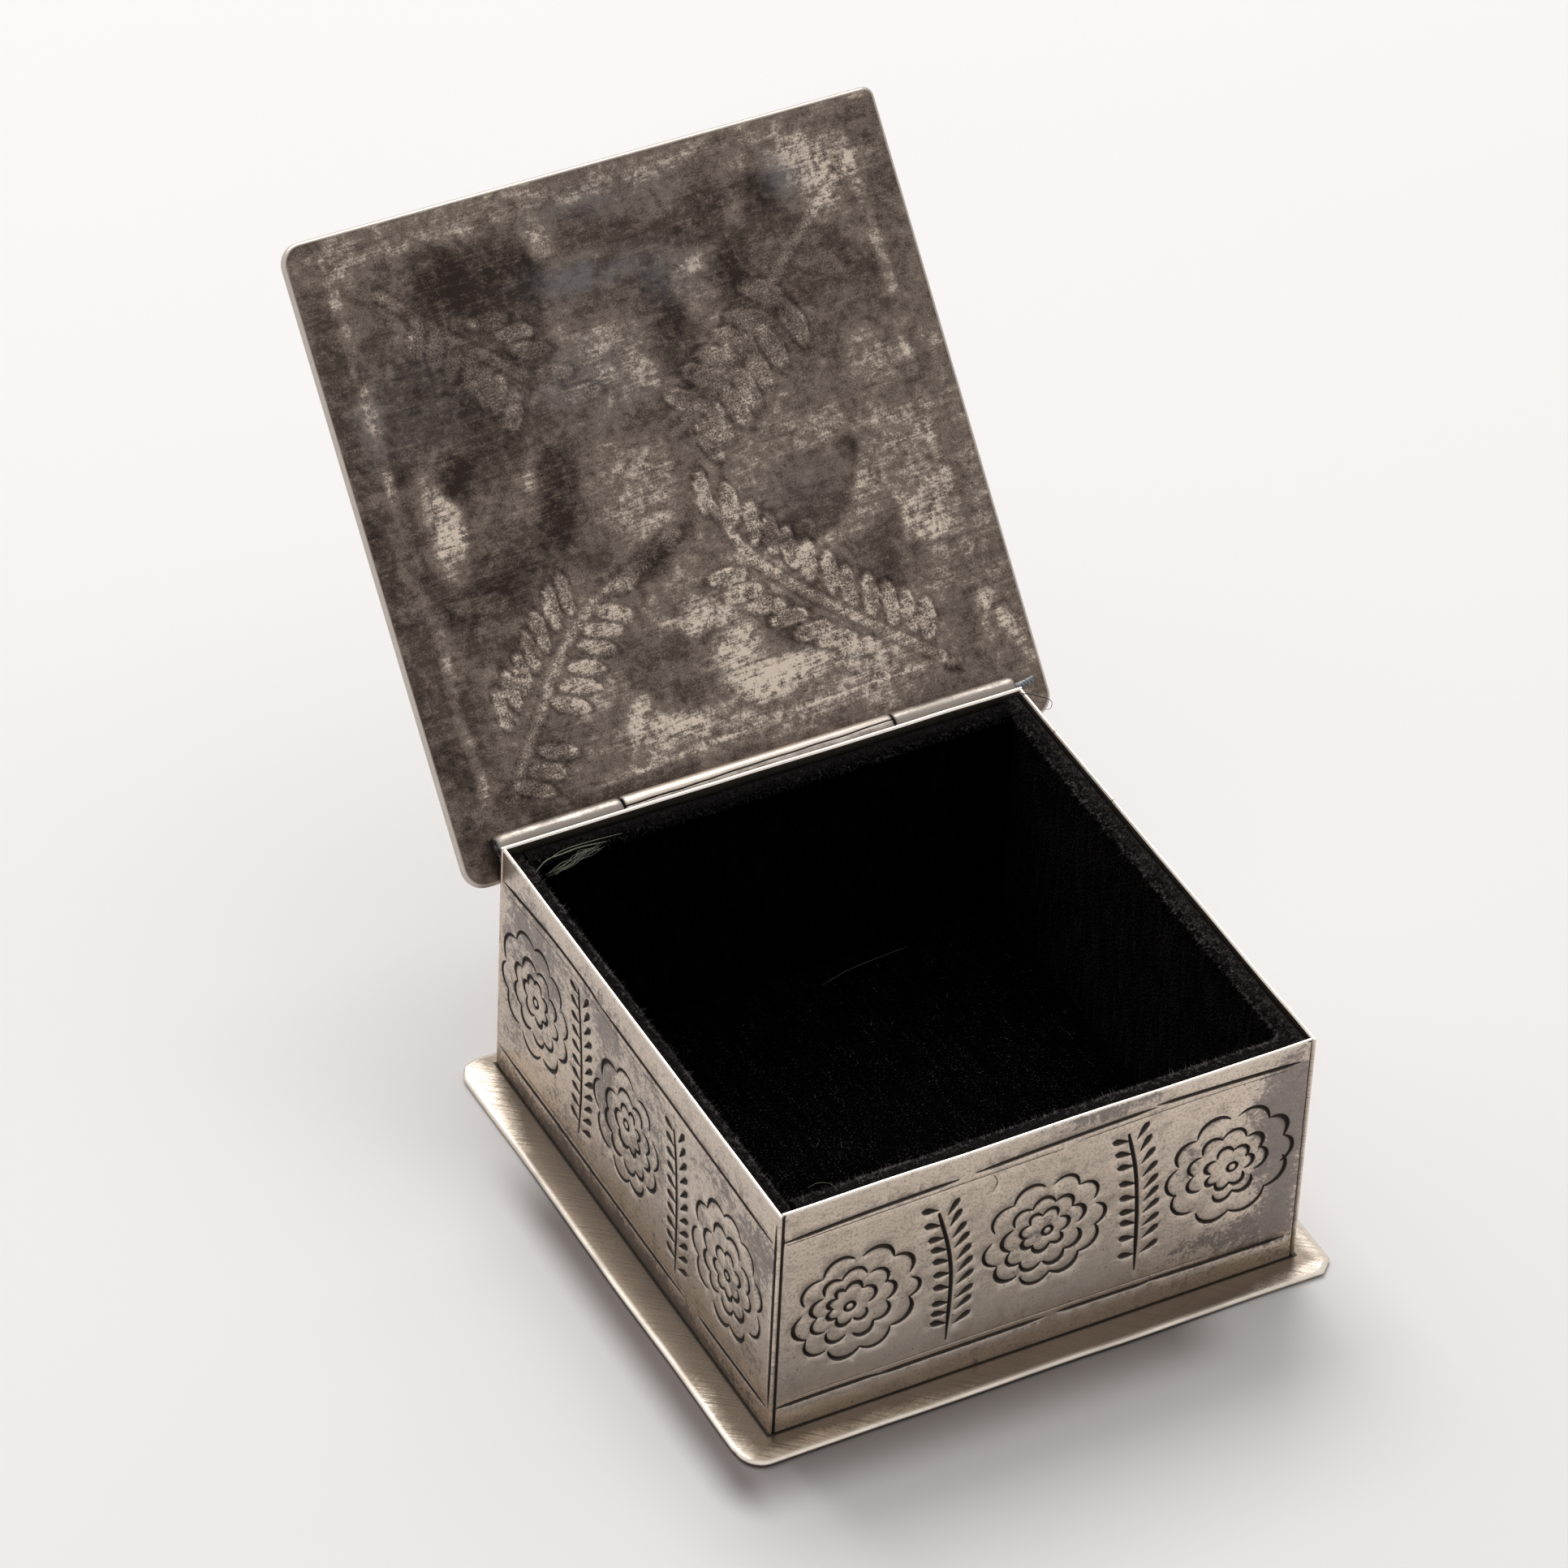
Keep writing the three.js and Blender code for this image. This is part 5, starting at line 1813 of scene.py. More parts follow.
    def ring(self, draft: Draft, line: np.ndarray, height: np.ndarray, above: bool,
             rub: float) -> np.ndarray:
        """Adds one ring of points.

        Args:
            draft: The mesh being drawn.
            line: The ring's places on the plate.
            height: Height over the floor at each place.
            above: Whether it is on the upper face.
            rub: How bright its edge is rubbed, by use and as a painted highlight.

        Returns:
            The points' numbers.
        """
        gap = np.maximum.reduce([np.abs(line[:, 0]) - HALF_WIDTH, FRONT_FACE - line[:, 1],
                                 line[:, 1] - REAR_FACE])
        stain = sum(amount * np.exp(-((line[:, 0] - x) ** 2 + (line[:, 1] - y) ** 2) / reach ** 2)
                    for x, y, reach, amount in self.dark_patches)
        waver = 0.5 * Noise(52).layers(line[:, 0], line[:, 1], 4.0, 2)
        # Dark patches, plus a painted shade on the flange within a few millimetres of the walls' foot.
        return draft.add(np.column_stack([line, height]), flat=np.column_stack([line, 0 * gap]),
                         stain=stain + 0.75 * smooth_step(gap + waver, 3.4, 0.3),
                         groove=above * smooth_step(gap, 0.42, 0.1), rub=rub * (1 + waver))

    def build(self) -> bpy.types.Object:
        """Makes the plate from rings, from under its middle round the edge to over its middle.

        Returns:
            The piece.
        """
        draft = Draft()
        loops = []
        # The rings at the edge's top and over the flange are rubbed bright, partly as a painted highlight
        # along the filed edge.
        for inset, height in self.outer_rings:
            line = self.edge(inset)
            loops.append(self.ring(draft, line, np.full(len(line), height), False,
                                   0.7 if height > 0.4 else 0.0))
        lines = [self.edge(inset) for inset in self.flange_rings]
        lines += [lines[-1] + share * (self.foot(0.5) - lines[-1]) for share in (0.3, 0.65, 1.0)]
        lines += [self.foot(offset) for offset in self.foot_rings]
        loops += [self.ring(draft, line, self.top(line), True, max(0.0, 0.9 - 0.45 * number))
                  for number, line in enumerate(lines)]
        draft.grid(loops, True)
        draft.faces += [tuple(loops[0]), tuple(loops[-1])]
        return draft.piece("base_sheet", self.finish, Body.BOX, Slot.BRUSHED, ["base_plate"], sharp=50)


@dataclass(frozen=True)
class HingeSilver(Finish):
    """Satin silver tube: fine scratches along it, grey solder, dark seams and a painted shade on all but
    its upper rear side.
    """

    solder: Colour = (0.20, 0.20, 0.195)
    oxide: Colour = (0.03, 0.027, 0.025)

    def join(self, nodes: Nodes, shader: bpy.types.Node) -> None:
        """Joins scratches, tarnish with the painted shade, solder bloom and seams.

        Args:
            nodes: Adds and joins the nodes.
            shader: The finish's shader.
        """
        place = nodes.flat()
        cloud = nodes.noise(place, 3.0, 5.0, 0.65)
        drawn = nodes.noise(nodes.flat((0.22, 6.0, 1.0)), 1.0, 4.0, 0.65)
        grain = nodes.noise(place, 0.35, 3.0, 0.6)
        darker = self.tint(0.40)
        # The tubes' kept dullness holds their tarnish and a painted shade on all but their upper rear
        # side.
        tarnish = nodes.span(nodes.total((cloud, 1.0), (drawn, 1.0), (grain, 0.4),
                                         (nodes.kept("dull"), 1.0)), 1.12, 1.55, 0.0, 0.85)
        colour = nodes.blend(tarnish, self.colour, darker)
        solder = nodes.total((nodes.kept("solder"), 1.0), (cloud, 0.5), (grain, 0.3))
        solder = nodes.span(solder, 0.7, 1.3)
        colour = nodes.blend(solder, colour, self.solder)
        seam = nodes.span(nodes.kept("groove"), 0.2, 0.8)
        nodes.feed(shader.inputs["Base Color"], nodes.blend(seam, colour, self.oxide))
        rough = nodes.total((drawn, 0.14), (solder, 0.2), (seam, 0.2), base=self.roughness - 0.07)
        nodes.feed(shader.inputs["Roughness"], rough)
        height = nodes.total((drawn, 0.8), (grain, 0.5), (cloud, 0.4))
        nodes.feed(shader.inputs["Normal"], nodes.bump(height, 0.03))


@dataclass(frozen=True)
class SteelWire(Finish):
    """Dull grey wire with cutter marks across it."""

    bright: Colour = (0.7, 0.7, 0.72)

    def join(self, nodes: Nodes, shader: bpy.types.Node) -> None:
        """Joins the cutter marks and a mottled skin.

        Args:
            nodes: Adds and joins the nodes.
            shader: The finish's shader.
        """
        cut = nodes.noise(nodes.flat((5.0, 0.6, 1.0), 14.0), 1.0, 3.0, 0.6)
        grain = nodes.noise(nodes.flat(), 0.3, 3.0, 0.6)
        darker = self.tint(0.35)
        colour = nodes.blend(nodes.span(cut, 0.4, 0.62), darker, self.colour)
        nodes.feed(shader.inputs["Base Color"],
                   nodes.blend(nodes.span(grain, 0.6, 0.75), colour, self.bright))
        nodes.feed(shader.inputs["Roughness"], nodes.total((cut, 0.2), base=self.roughness - 0.1))
        nodes.feed(shader.inputs["Normal"], nodes.bump(nodes.total((cut, 1.0), (grain, 0.4)), 0.05))


@dataclass
class Tube:
    """One hinge knuckle along X: a bored tube with a seam, filed ends and a hand-worked skin.

    Attributes:
        seam: Angle of the seam at the start and at the end, in degrees.
        seam_depth: How deep the seam is.
        crushed: How far the starting end is squashed.
        dull: How tarnished the tube is; the painted shade is added to it at each point.
        filed_depth: How deep the ends are filed.
        filed_reach: How far along the filing goes.
        dark_reach: How far the dark at the ends goes.
        shaded: Angles over which a painted shade on the tube sets in, in degrees; past the second the tube
            stays darker.
        fold: Angles of the points close to the seam.
    """

    name: str
    start: float
    end: float
    body: Body
    seed: int
    seam: tuple[float, float] = (180.0, 180.0)
    seam_depth: float = 0.0
    crushed: float = 0.0
    dull: float = 0.0
    bore: float = 0.65
    filed_depth: float = 0.22
    filed_reach: float = 0.16
    dark_reach: float = 0.35
    shaded: Point = (100.0, 128.0)
    fold: tuple[float, ...] = (-10.0, -6.0, -3.0, 0.0, 3.0, 6.0, 10.0)

    def build(self, finish: Finish) -> bpy.types.Object:
        """Makes the tube.

        Args:
            finish: Its finish.

        Returns:
            The piece.
        """
        length = self.end - self.start
        stations = np.concatenate([[0, 0.06, 0.2], np.linspace(0.6, length - 0.6, 40),
                                   length - np.array([0.2, 0.06, 0])])
        offsets = np.concatenate([self.fold, np.linspace(18, 342, 42)])
        skin = Noise(self.seed)
        draft = Draft()
        loops = []
        for along in stations:
            share, gap = along / length, min(along, length - along)
            sway = 5 * float(skin.layers(np.array([along]), np.zeros(1), 4.0, 3)[0])
            middle = self.seam[0] + share * (self.seam[1] - self.seam[0]) + sway
            angle = np.radians(middle + offsets)
            close = np.exp(-(np.abs(offsets) / 4.2) ** 2)
            filed = self.filed_depth * math.exp(-gap / self.filed_reach)
            worked = 0.035 * skin.layers(along + 0 * offsets, 3 * np.sin(angle), 5.0, 3)
            radius = TUBE_RADIUS - 0.03 - filed + worked - self.seam_depth * close
            squash = 1 - self.crushed * math.exp(-along / 0.9)
            y, z = radius * np.cos(angle), radius * np.sin(angle) * squash
            points = np.column_stack([0 * y + self.start + along, HINGE_Y + y, HINGE_Z + z])
            flat = np.column_stack([points[:, 0], np.degrees(angle) * 0.0288, 0 * y + self.seed])
            under = smooth_step(np.sin(angle), -0.1, -0.6) * (self.body is Body.BOX)
            end_dark = math.exp(-gap / self.dark_reach)
            # Painted shade: the tube is painted darker all round except its upper rear side.
            shade = self.dull + 0.5 * smooth_step(np.degrees(angle) % 360, *self.shaded)
            crack = end_dark * (0.75 + 0.6 * skin.at(9 * np.sin(angle), 9 * np.cos(angle), 4.0))
            solder = under + 0.5 * end_dark + 1.2 * self.crushed * math.exp(-along / 1.2)
            groove = np.maximum(close * (self.seam_depth > 0), crack)
            loops.append(draft.add(points, flat=flat, dull=shade, groove=groove, solder=solder))
        draft.grid(loops, True)
        turn = np.radians(self.seam[0] + offsets)
        holes = []
        for place, along, loop in ((self.start, 0, loops[0]), (self.end, 1, loops[-1])):
            squash = 1 - self.crushed * (1 - along)
            ring = np.column_stack([0 * turn + place, HINGE_Y + self.bore * np.cos(turn),
                                    HINGE_Z + self.bore * squash * np.sin(turn)])
            holes.append(draft.add(ring, flat=ring, groove=0.7, solder=0.6))
            draft.strip(loop, holes[-1], True)
        draft.strip(holes[0], holes[1], True)
        return draft.piece(self.name + "_tube", finish, self.body, Slot.HINGE, [self.name], sharp=35)


@dataclass
class Hinge:
    """Three tubes on a wire pin, soldered by turns to the rear wall and the lid."""

    silver: Finish = HingeSilver("hinge_silver", (0.56, 0.50, 0.44), 0.42)
    steel: Finish = SteelWire("steel_wire", (0.26, 0.265, 0.28), 0.5)
    pin_radius: float = 0.55
    pin_end: float = 40.85
    tail_lift: float = 0.5

    def tubes(self) -> list[bpy.types.Object]:
        """Makes the three knuckles between the CAD tubes' ends.

        Returns:
            The three pieces.
        """
        made = []
        for name, body, seam, depth, crushed, dull in (
                ("hinge_knuckle_left", Body.BOX, (250, 250), 0.0, 0.30, 0.12),
                ("hinge_knuckle_centre", Body.LID, (131, 109), 0.18, 0.0, -0.35),
                ("hinge_knuckle_right", Body.BOX, (250, 250), 0.0, 0.0, 0.22)):
            low, high = node_box(name)
            made.append(Tube(name, float(low[0]), float(high[0]), body, len(made) + 61, seam, depth,
                             crushed, dull).build(self.silver))
        return made

    def pin(self) -> bpy.types.Object:
        """Makes the wire, straight in the tubes and bent a little up at its cut tail.

        Returns:
            The piece.
        """
        low = float(node_box("hinge_pin")[0][0])
        tube_end = float(node_box("hinge_knuckle_right")[1][0])
        along = np.concatenate([[low, low + 0.08], np.linspace(low + 0.4, tube_end, 30),
                                np.linspace(tube_end, self.pin_end - 0.1, 10)[1:], [self.pin_end]])
        turn = np.radians(np.linspace(0, 360, 20, endpoint=False))
        draft = Draft()
        loops = []
        for number, x in enumerate(along):
            share = max(0.0, (x - tube_end) / (self.pin_end - tube_end))
            radius = self.pin_radius * (0.72 if number in (0, len(along) - 1) else 1.0)
            shape = radius * (1 - 0.10 * share * np.cos(2 * turn))
            points = np.column_stack([0 * turn + x, HINGE_Y + shape * np.cos(turn),
                                      HINGE_Z + shape * np.sin(turn) + self.tail_lift * share ** 2])
            loops.append(draft.add(points, flat=np.column_stack([0 * turn + x, turn, 0 * turn])))
        draft.grid(loops, True)
        draft.faces += [tuple(loops[0]), tuple(loops[-1])]
        return draft.piece("hinge_wire", self.steel, Body.BOX, Slot.STEEL, ["hinge_pin"], sharp=35)

    def fillet(self, name: str, start: float, end: float, seed: int) -> bpy.types.Object:
        """Makes the solder that fills the crook between a side tube and the rear wall.

        Args:
            name: Name of the piece.
            start: Where it starts along the hinge.
            end: Where it ends.
            seed: Which unevenness it has.

        Returns:
            The piece.
        """
        along = np.linspace(start + 0.2, end - 0.2, 60)
        flow = 0.16 * Noise(seed).layers(along, 0 * along, 2.6, 3)
        draft = Draft()
        loops = []
        for x, more in zip(along, flow):
            reach = 0.75 + more
            y = np.array([0.02, 0.02, 0.10 + 0.25 * reach, 0.35 + 0.55 * reach, 0.75, 0.35])
            z = np.array([-1.3, -1.55 - reach, -1.45 - 0.45 * reach, -1.25 - 0.25 * reach, -0.95, -0.7])
            points = np.column_stack([0 * y + x, REAR_FACE + y, HINGE_Z + z])
            loops.append(draft.add(points, flat=np.column_stack([0 * y + x, z, 0 * y + seed]),
                                   solder=1.0))
        draft.grid(loops, True)
        draft.faces += [tuple(loops[0]), tuple(loops[-1])]
        return draft.piece(name, self.silver, Body.BOX, Slot.HINGE, sharp=50)

    def build(self) -> None:
        """Makes the tubes, the pin and the solder."""
        self.tubes()
        self.pin()
        for side, seed in (("left", 71), ("right", 72)):
            low, high = node_box("hinge_knuckle_" + side)
            self.fillet("hinge_solder_" + side, float(low[0]), float(high[0]), seed)


@dataclass(frozen=True)
class VelvetPile(Finish):
    """Black short-pile velvet: faint woven rows, crushed patches, and a worn grey turn at the top."""

    worn: Colour = (0.010, 0.009, 0.009)
    tips: Colour = (0.050, 0.045, 0.044)
    sheen: Colour = (0.55, 0.48, 0.48)

    def join(self, nodes: Nodes, shader: bpy.types.Node) -> None:
        """Joins the rows, the crushed patches, the pale tips, the worn turn and the pile's bump.

        Args:
            nodes: Adds and joins the nodes.
            shader: The finish's shader.
        """
        crush = nodes.noise(nodes.flat(), 7.0, 4.0, 0.6)
        row = nodes.noise(nodes.flat((1.15, 0.16, 1.0)), 1.0, 1.0, 0.5)
        tuft = nodes.noise(nodes.flat(), 0.30, 2.0, 0.6)
        colour = nodes.blend(nodes.span(nodes.kept("roll"), 0.1, 0.9), self.colour, self.worn)
        # nap raises the pale tips on a panel's face, a painted sheen.
        light = nodes.total((nodes.kept("nap"), 0.16), (crush, 0.20), (row, 0.32), (tuft, 1.3),
                            base=-0.42)
        colour = nodes.blend(nodes.span(light, 0.58, 0.85, 0.0, 0.85), colour, self.tips)
        nodes.feed(shader.inputs["Base Color"], colour)
        shader.inputs["Specular IOR Level"].default_value = 0.0
        shader.inputs["Sheen Weight"].default_value = 0.02
        shader.inputs["Sheen Roughness"].default_value = 0.4
        shader.inputs["Sheen Tint"].default_value = (*self.sheen, 1.0)
        nodes.feed(shader.inputs["Normal"], nodes.bump(nodes.total((tuft, 1.0), (row, 0.5)), 0.25))


@dataclass(frozen=True)
class NapFibre(Finish):
    """Worn pile along the lining's top edge, grey where the light catches it."""

    def join(self, nodes: Nodes, shader: bpy.types.Node) -> None:
        """Joins the change of grey from tuft to tuft.

        Args:
            nodes: Adds and joins the nodes.
            shader: The finish's shader.
        """
        fibre = nodes.noise(nodes.flat(), 0.5, 2.0, 0.6)
        paler = self.tint(11.0)
        light = nodes.total((nodes.kept("glow"), 1.0), (fibre, 0.6), base=-0.3)
        nodes.feed(shader.inputs["Base Color"],
                   nodes.blend(nodes.span(light, 0.0, 1.0), self.colour, paler))
        shader.inputs["Specular IOR Level"].default_value = 0.1


@dataclass(frozen=True)
class Thread(Finish):
    """A loose spun thread, paler and darker along its twist."""

    def join(self, nodes: Nodes, shader: bpy.types.Node) -> None:
        """Joins the twist.

        Args:
            nodes: Adds and joins the nodes.
            shader: The finish's shader.
        """
        twist = nodes.noise(nodes.flat((1.0, 3.0, 1.0)), 0.6, 2.0, 0.6)
        darker = self.tint(0.4)
        nodes.feed(shader.inputs["Base Color"],
                   nodes.blend(nodes.span(twist, 0.35, 0.65), darker, self.colour))
        shader.inputs["Specular IOR Level"].default_value = 0.2


@dataclass(frozen=True)
class CardBoard(Finish):
    """Plain grey card with fibres and a mottled face."""

    def join(self, nodes: Nodes, shader: bpy.types.Node) -> None:
        """Joins the fibres over the card's own place, which is in metres.

        Args:
            nodes: Adds and joins the nodes.
            shader: The finish's shader.
        """
        place = nodes.add("ShaderNodeTexCoord").outputs["Object"]
        fibre = nodes.noise(place, 0.0012, 4.0, 0.7)
        darker = self.tint(0.7)
        nodes.feed(shader.inputs["Base Color"],
                   nodes.blend(nodes.span(fibre, 0.35, 0.65), self.colour, darker))
        nodes.feed(shader.inputs["Normal"], nodes.bump(fibre, 0.05))


@dataclass
class LiningPanel:
    """Velvet over one card panel, turned over its top edge, with worn pile along the turn.

    It is drawn from the wall's inner face inwards, along the wall and up from the floor.

    Attributes:
        start_cove: How far the velvet rounds into the corner at its start.
        end_cove: The same at its end.
        cloth: Where the velvet's back lies, inward from the wall.
        face: Where its face lies.
        turn: Radius of the turned top edge.
        fibres: Fibres in each tuft of worn pile.
        pitch: Distance between the tufts.
        wear_and_sheen: How pale the worn pile is painted: its worn grey and a painted sheen where light
            catches it.
        nap: How pale the face's pile is painted, a painted sheen.
        spike: Shortest and longest fibre.
        thickness: Thinnest and thickest fibre.
        stray_level: Share of the fibres that don't stand out.
        stray_length: How much longer the others are.
    """

    side: str
    corner: Place
    along: Place
    inward: Place
    length: float
    seed: int
    start_cove: float = 0.0
    end_cove: float = 0.0
    height: float = 36.0
    cloth: float = 1.3
    face: float = 2.2
    back: float = 0.12
    turn: float = 1.05
    card_top: float = 35.1
    fibres: int = 15
    pitch: float = 0.62
    wear_and_sheen: float = 1.0
    nap: float = 0.0
    spike: Point = (0.1, 0.42)
    thickness: Point = (0.035, 0.075)
    stray_level: float = 0.97
    stray_length: float = 0.7

    def place(self, u: np.ndarray, w: np.ndarray, z: np.ndarray) -> np.ndarray:
        """Puts places along, inward and up into the box's frame."""
        return (np.array(self.corner) + np.outer(u, self.along) + np.outer(w, self.inward)
                + np.outer(z, (0, 0, 1)))

    def cove(self, u: np.ndarray) -> np.ndarray:
        """Gives how far the velvet rounds into the corners at its ends.

        Args:
            u: Places along the panel.

        Returns:
            The distance from the wall at each place.
        """
        total = np.zeros(np.shape(u))
        for radius, gap in ((self.start_cove, u), (self.end_cove, self.length - u)):
            if radius:
                near = np.clip(radius - gap, 0, radius)
                total = total + 0.85 * (radius - np.sqrt(np.maximum(radius ** 2 - near ** 2, 0)))
        return total

    def crown(self, u: np.ndarray) -> np.ndarray:
        """Gives the uneven height of the turned edge."""
        return self.height - 0.12 + 0.16 * Noise(self.seed).layers(u, 0 * u, 9.0, 3)

    def section(self, u: float) -> tuple[np.ndarray, np.ndarray, np.ndarray]:
        """Draws the velvet's closed section.

        Args:
            u: Place along the wall.

        Returns:
            Its places inward and up, and how high each is on the roll from 0 to 1.
        """
        spot = np.array([u])
        soft = Noise(self.seed + 5)
        face = self.face + float(self.cove(spot)[0])
        crown = float(self.crown(spot)[0])
        rise = np.linspace(0, crown - self.turn, 16)
        swell = 0.10 * soft.layers(u + 0 * rise, rise, 12.0, 2) * np.sin(math.pi * rise / rise[-1])
        roll = np.radians(np.linspace(0, 90, 9))[1:]
        back_turn = np.radians(np.linspace(90, 180, 6))
        lip = self.back + 0.45
        w = np.concatenate([face - 0.05 + swell, face - self.turn + self.turn * np.cos(roll),
                            lip + 0.45 * np.cos(back_turn), [self.back, self.cloth, self.cloth]])
        z = np.concatenate([rise, crown - self.turn + self.turn * np.sin(roll),
                            crown - 0.45 + 0.45 * np.sin(back_turn), [self.card_top, self.card_top, 0.0]])
        return w, z, smooth_step(z, crown - 1.4, crown - 0.1)

    def build(self, pile: Finish, nap: Finish) -> list[bpy.types.Object]:
        """Makes the velvet and the worn pile along its turned edge.

        Args:
            pile: The velvet's finish.
            nap: The worn pile's finish.

        Returns:
            The two pieces.
        """
        steps = np.linspace(0.02, self.length - 0.02, int(self.length / 0.7))
        draft = Draft()
        loops = []
        for u in steps:
            w, z, roll = self.section(float(u))
            run = np.concatenate([[0], np.cumsum(np.hypot(np.diff(w), np.diff(z)))])
            loops.append(draft.add(self.place(0 * w + u, w, z), flat=np.column_stack(
                [0 * w + u, run, 0 * w + 30 * self.seed]), roll=roll, nap=self.nap))
        draft.grid(loops)
        draft.faces += [(one[-1], two[-1], two[0], one[0]) for one, two in zip(loops, loops[1:])]
        draft.faces += [tuple(loops[0]), tuple(loops[-1])]
        cloth = draft.piece(self.side + "_lining", pile, Body.BOX, Slot.VELVET, [self.side + "_velvet"],
                            sharp=60)
        return [cloth, self.worn_pile(nap)]

    def worn_pile(self, nap: Finish) -> bpy.types.Object:
        """Makes the pile that stands up along the turned edge in woven rows, one spike to a fibre.

        Args:
            nap: The worn pile's finish.

        Returns:
            The piece.
        """
        hand = np.random.default_rng(self.seed + 200)
        rows, bends = np.meshgrid(np.arange(0.3, self.length, self.pitch), np.arange(-8, 125, 22))
        tufts = rows.size
        turns = np.radians(bends + 6 * hand.normal(size=rows.shape)).ravel()
        spots = (rows + 0.3 * self.pitch * (bends % 44 > 15) + 0.06 * hand.normal(size=rows.shape)).ravel()
        # Paler tufts: worn grey pile and a painted sheen where light catches it.
        glows = self.wear_and_sheen * hand.uniform(0, 1, tufts) ** 1.6
        glows = np.repeat(glows * (0.7 + 0.9 * Noise(self.seed + 9).layers(spots, 9 * turns, 5.0, 3)),
                          self.fibres)
        count = tufts * self.fibres
        bend = np.repeat(turns, self.fibres) + hand.normal(0, 0.10, count)
        u = np.clip(np.repeat(spots, self.fibres) + hand.normal(0, 0.11, count), 0.2, self.length - 0.2)
        face, crown = self.face + self.cove(u), self.crown(u)
        out = np.cos(bend)
        w = face - self.turn + self.turn * out
        z = crown - self.turn + self.turn * np.sin(bend)
        root = self.place(u, w - 0.08 * out, z - 0.08 * np.sin(bend))
        lean = hand.normal(0, 0.35, (count, 3))
        way = np.outer(out, self.inward) + np.outer(np.sin(bend), (0, 0, 1)) + lean
        way /= np.linalg.norm(way, axis=1)[:, None]
        stray = np.where(hand.uniform(0, 1, count) > self.stray_level, self.stray_length, 0.0)
        tip = root + way * (0.10 + hand.uniform(*self.spike, count) + stray)[:, None]
        tip[:, 2] = np.minimum(tip[:, 2], RIM_LEVEL - 0.15)
        side = np.cross(way, hand.normal(0, 1, way.shape))
        side /= np.linalg.norm(side, axis=1)[:, None]
        other = np.cross(way, side)
        thick = (hand.uniform(*self.thickness, count) - 0.02 * (stray > 0))[:, None]
        rows = [root + side * thick, root - 0.5 * side * thick + 0.87 * other * thick,
                root - 0.5 * side * thick - 0.87 * other * thick, tip]
        flat = np.column_stack([u, hand.uniform(0, 40, count), 0 * u])
        draft = Draft()
        a, b, c, d = (draft.add(row, flat=flat, glow=glows) for row in rows)
        for face_points in ((a, b, d), (b, c, d), (c, a, d), (c, b, a)):
            draft.faces += list(zip(*face_points))
        return draft.piece(self.side + "_worn_pile", nap, Body.BOX, Slot.VELVET, sharp=60)


@dataclass
class Strand:
    """A loose thread or hair that lies along a few points."""

    name: str
    points: tuple[Place, ...]
    radius: float
    finish: Finish
    copies: int = 1
    spread: float = 0.0

    def build(self) -> bpy.types.Object:
        """Makes the strand, or a loose bundle of them.

        Returns:
            The piece.
        """
        hand = np.random.default_rng(97)
        draft = Draft()
        for _ in range(self.copies):
            stray = self.spread * hand.normal(0, 1, (len(self.points), 3)) * [2.0, 1.0, 0.5]
            self.line(draft, np.array(self.points) + stray)
        return draft.piece(self.name, self.finish, Body.BOX, Slot.VELVET, sharp=60)

    def line(self, draft: Draft, points: np.ndarray) -> None:
        """Draws one thin closed tube, fine at both ends.

        Args:
            draft: The mesh being drawn.
            points: Places that it passes.
        """
        spine = curve_through(points, 0.35)
        way = np.gradient(spine, axis=0)
        way /= np.linalg.norm(way, axis=1)[:, None]
        side = np.cross(way, [0.21, 0.13, 0.97])
        side /= np.linalg.norm(side, axis=1)[:, None]
        other = np.cross(way, side)
        t = np.linspace(0, 1, len(spine))
        thick = self.radius * (0.35 + 0.65 * np.sin(math.pi * t) ** 0.6)
        turn = np.radians(np.arange(0, 360, 60))
        loops = [draft.add(centre + radius * (np.outer(np.cos(turn), a) + np.outer(np.sin(turn), b)),
                           flat=np.column_stack([0 * turn + 20 * share, turn, 0 * turn]))
                 for centre, radius, a, b, share in zip(spine, thick, side, other, t)]
        draft.grid(loops, True)
        draft.faces += [tuple(loops[0]), tuple(loops[-1])]


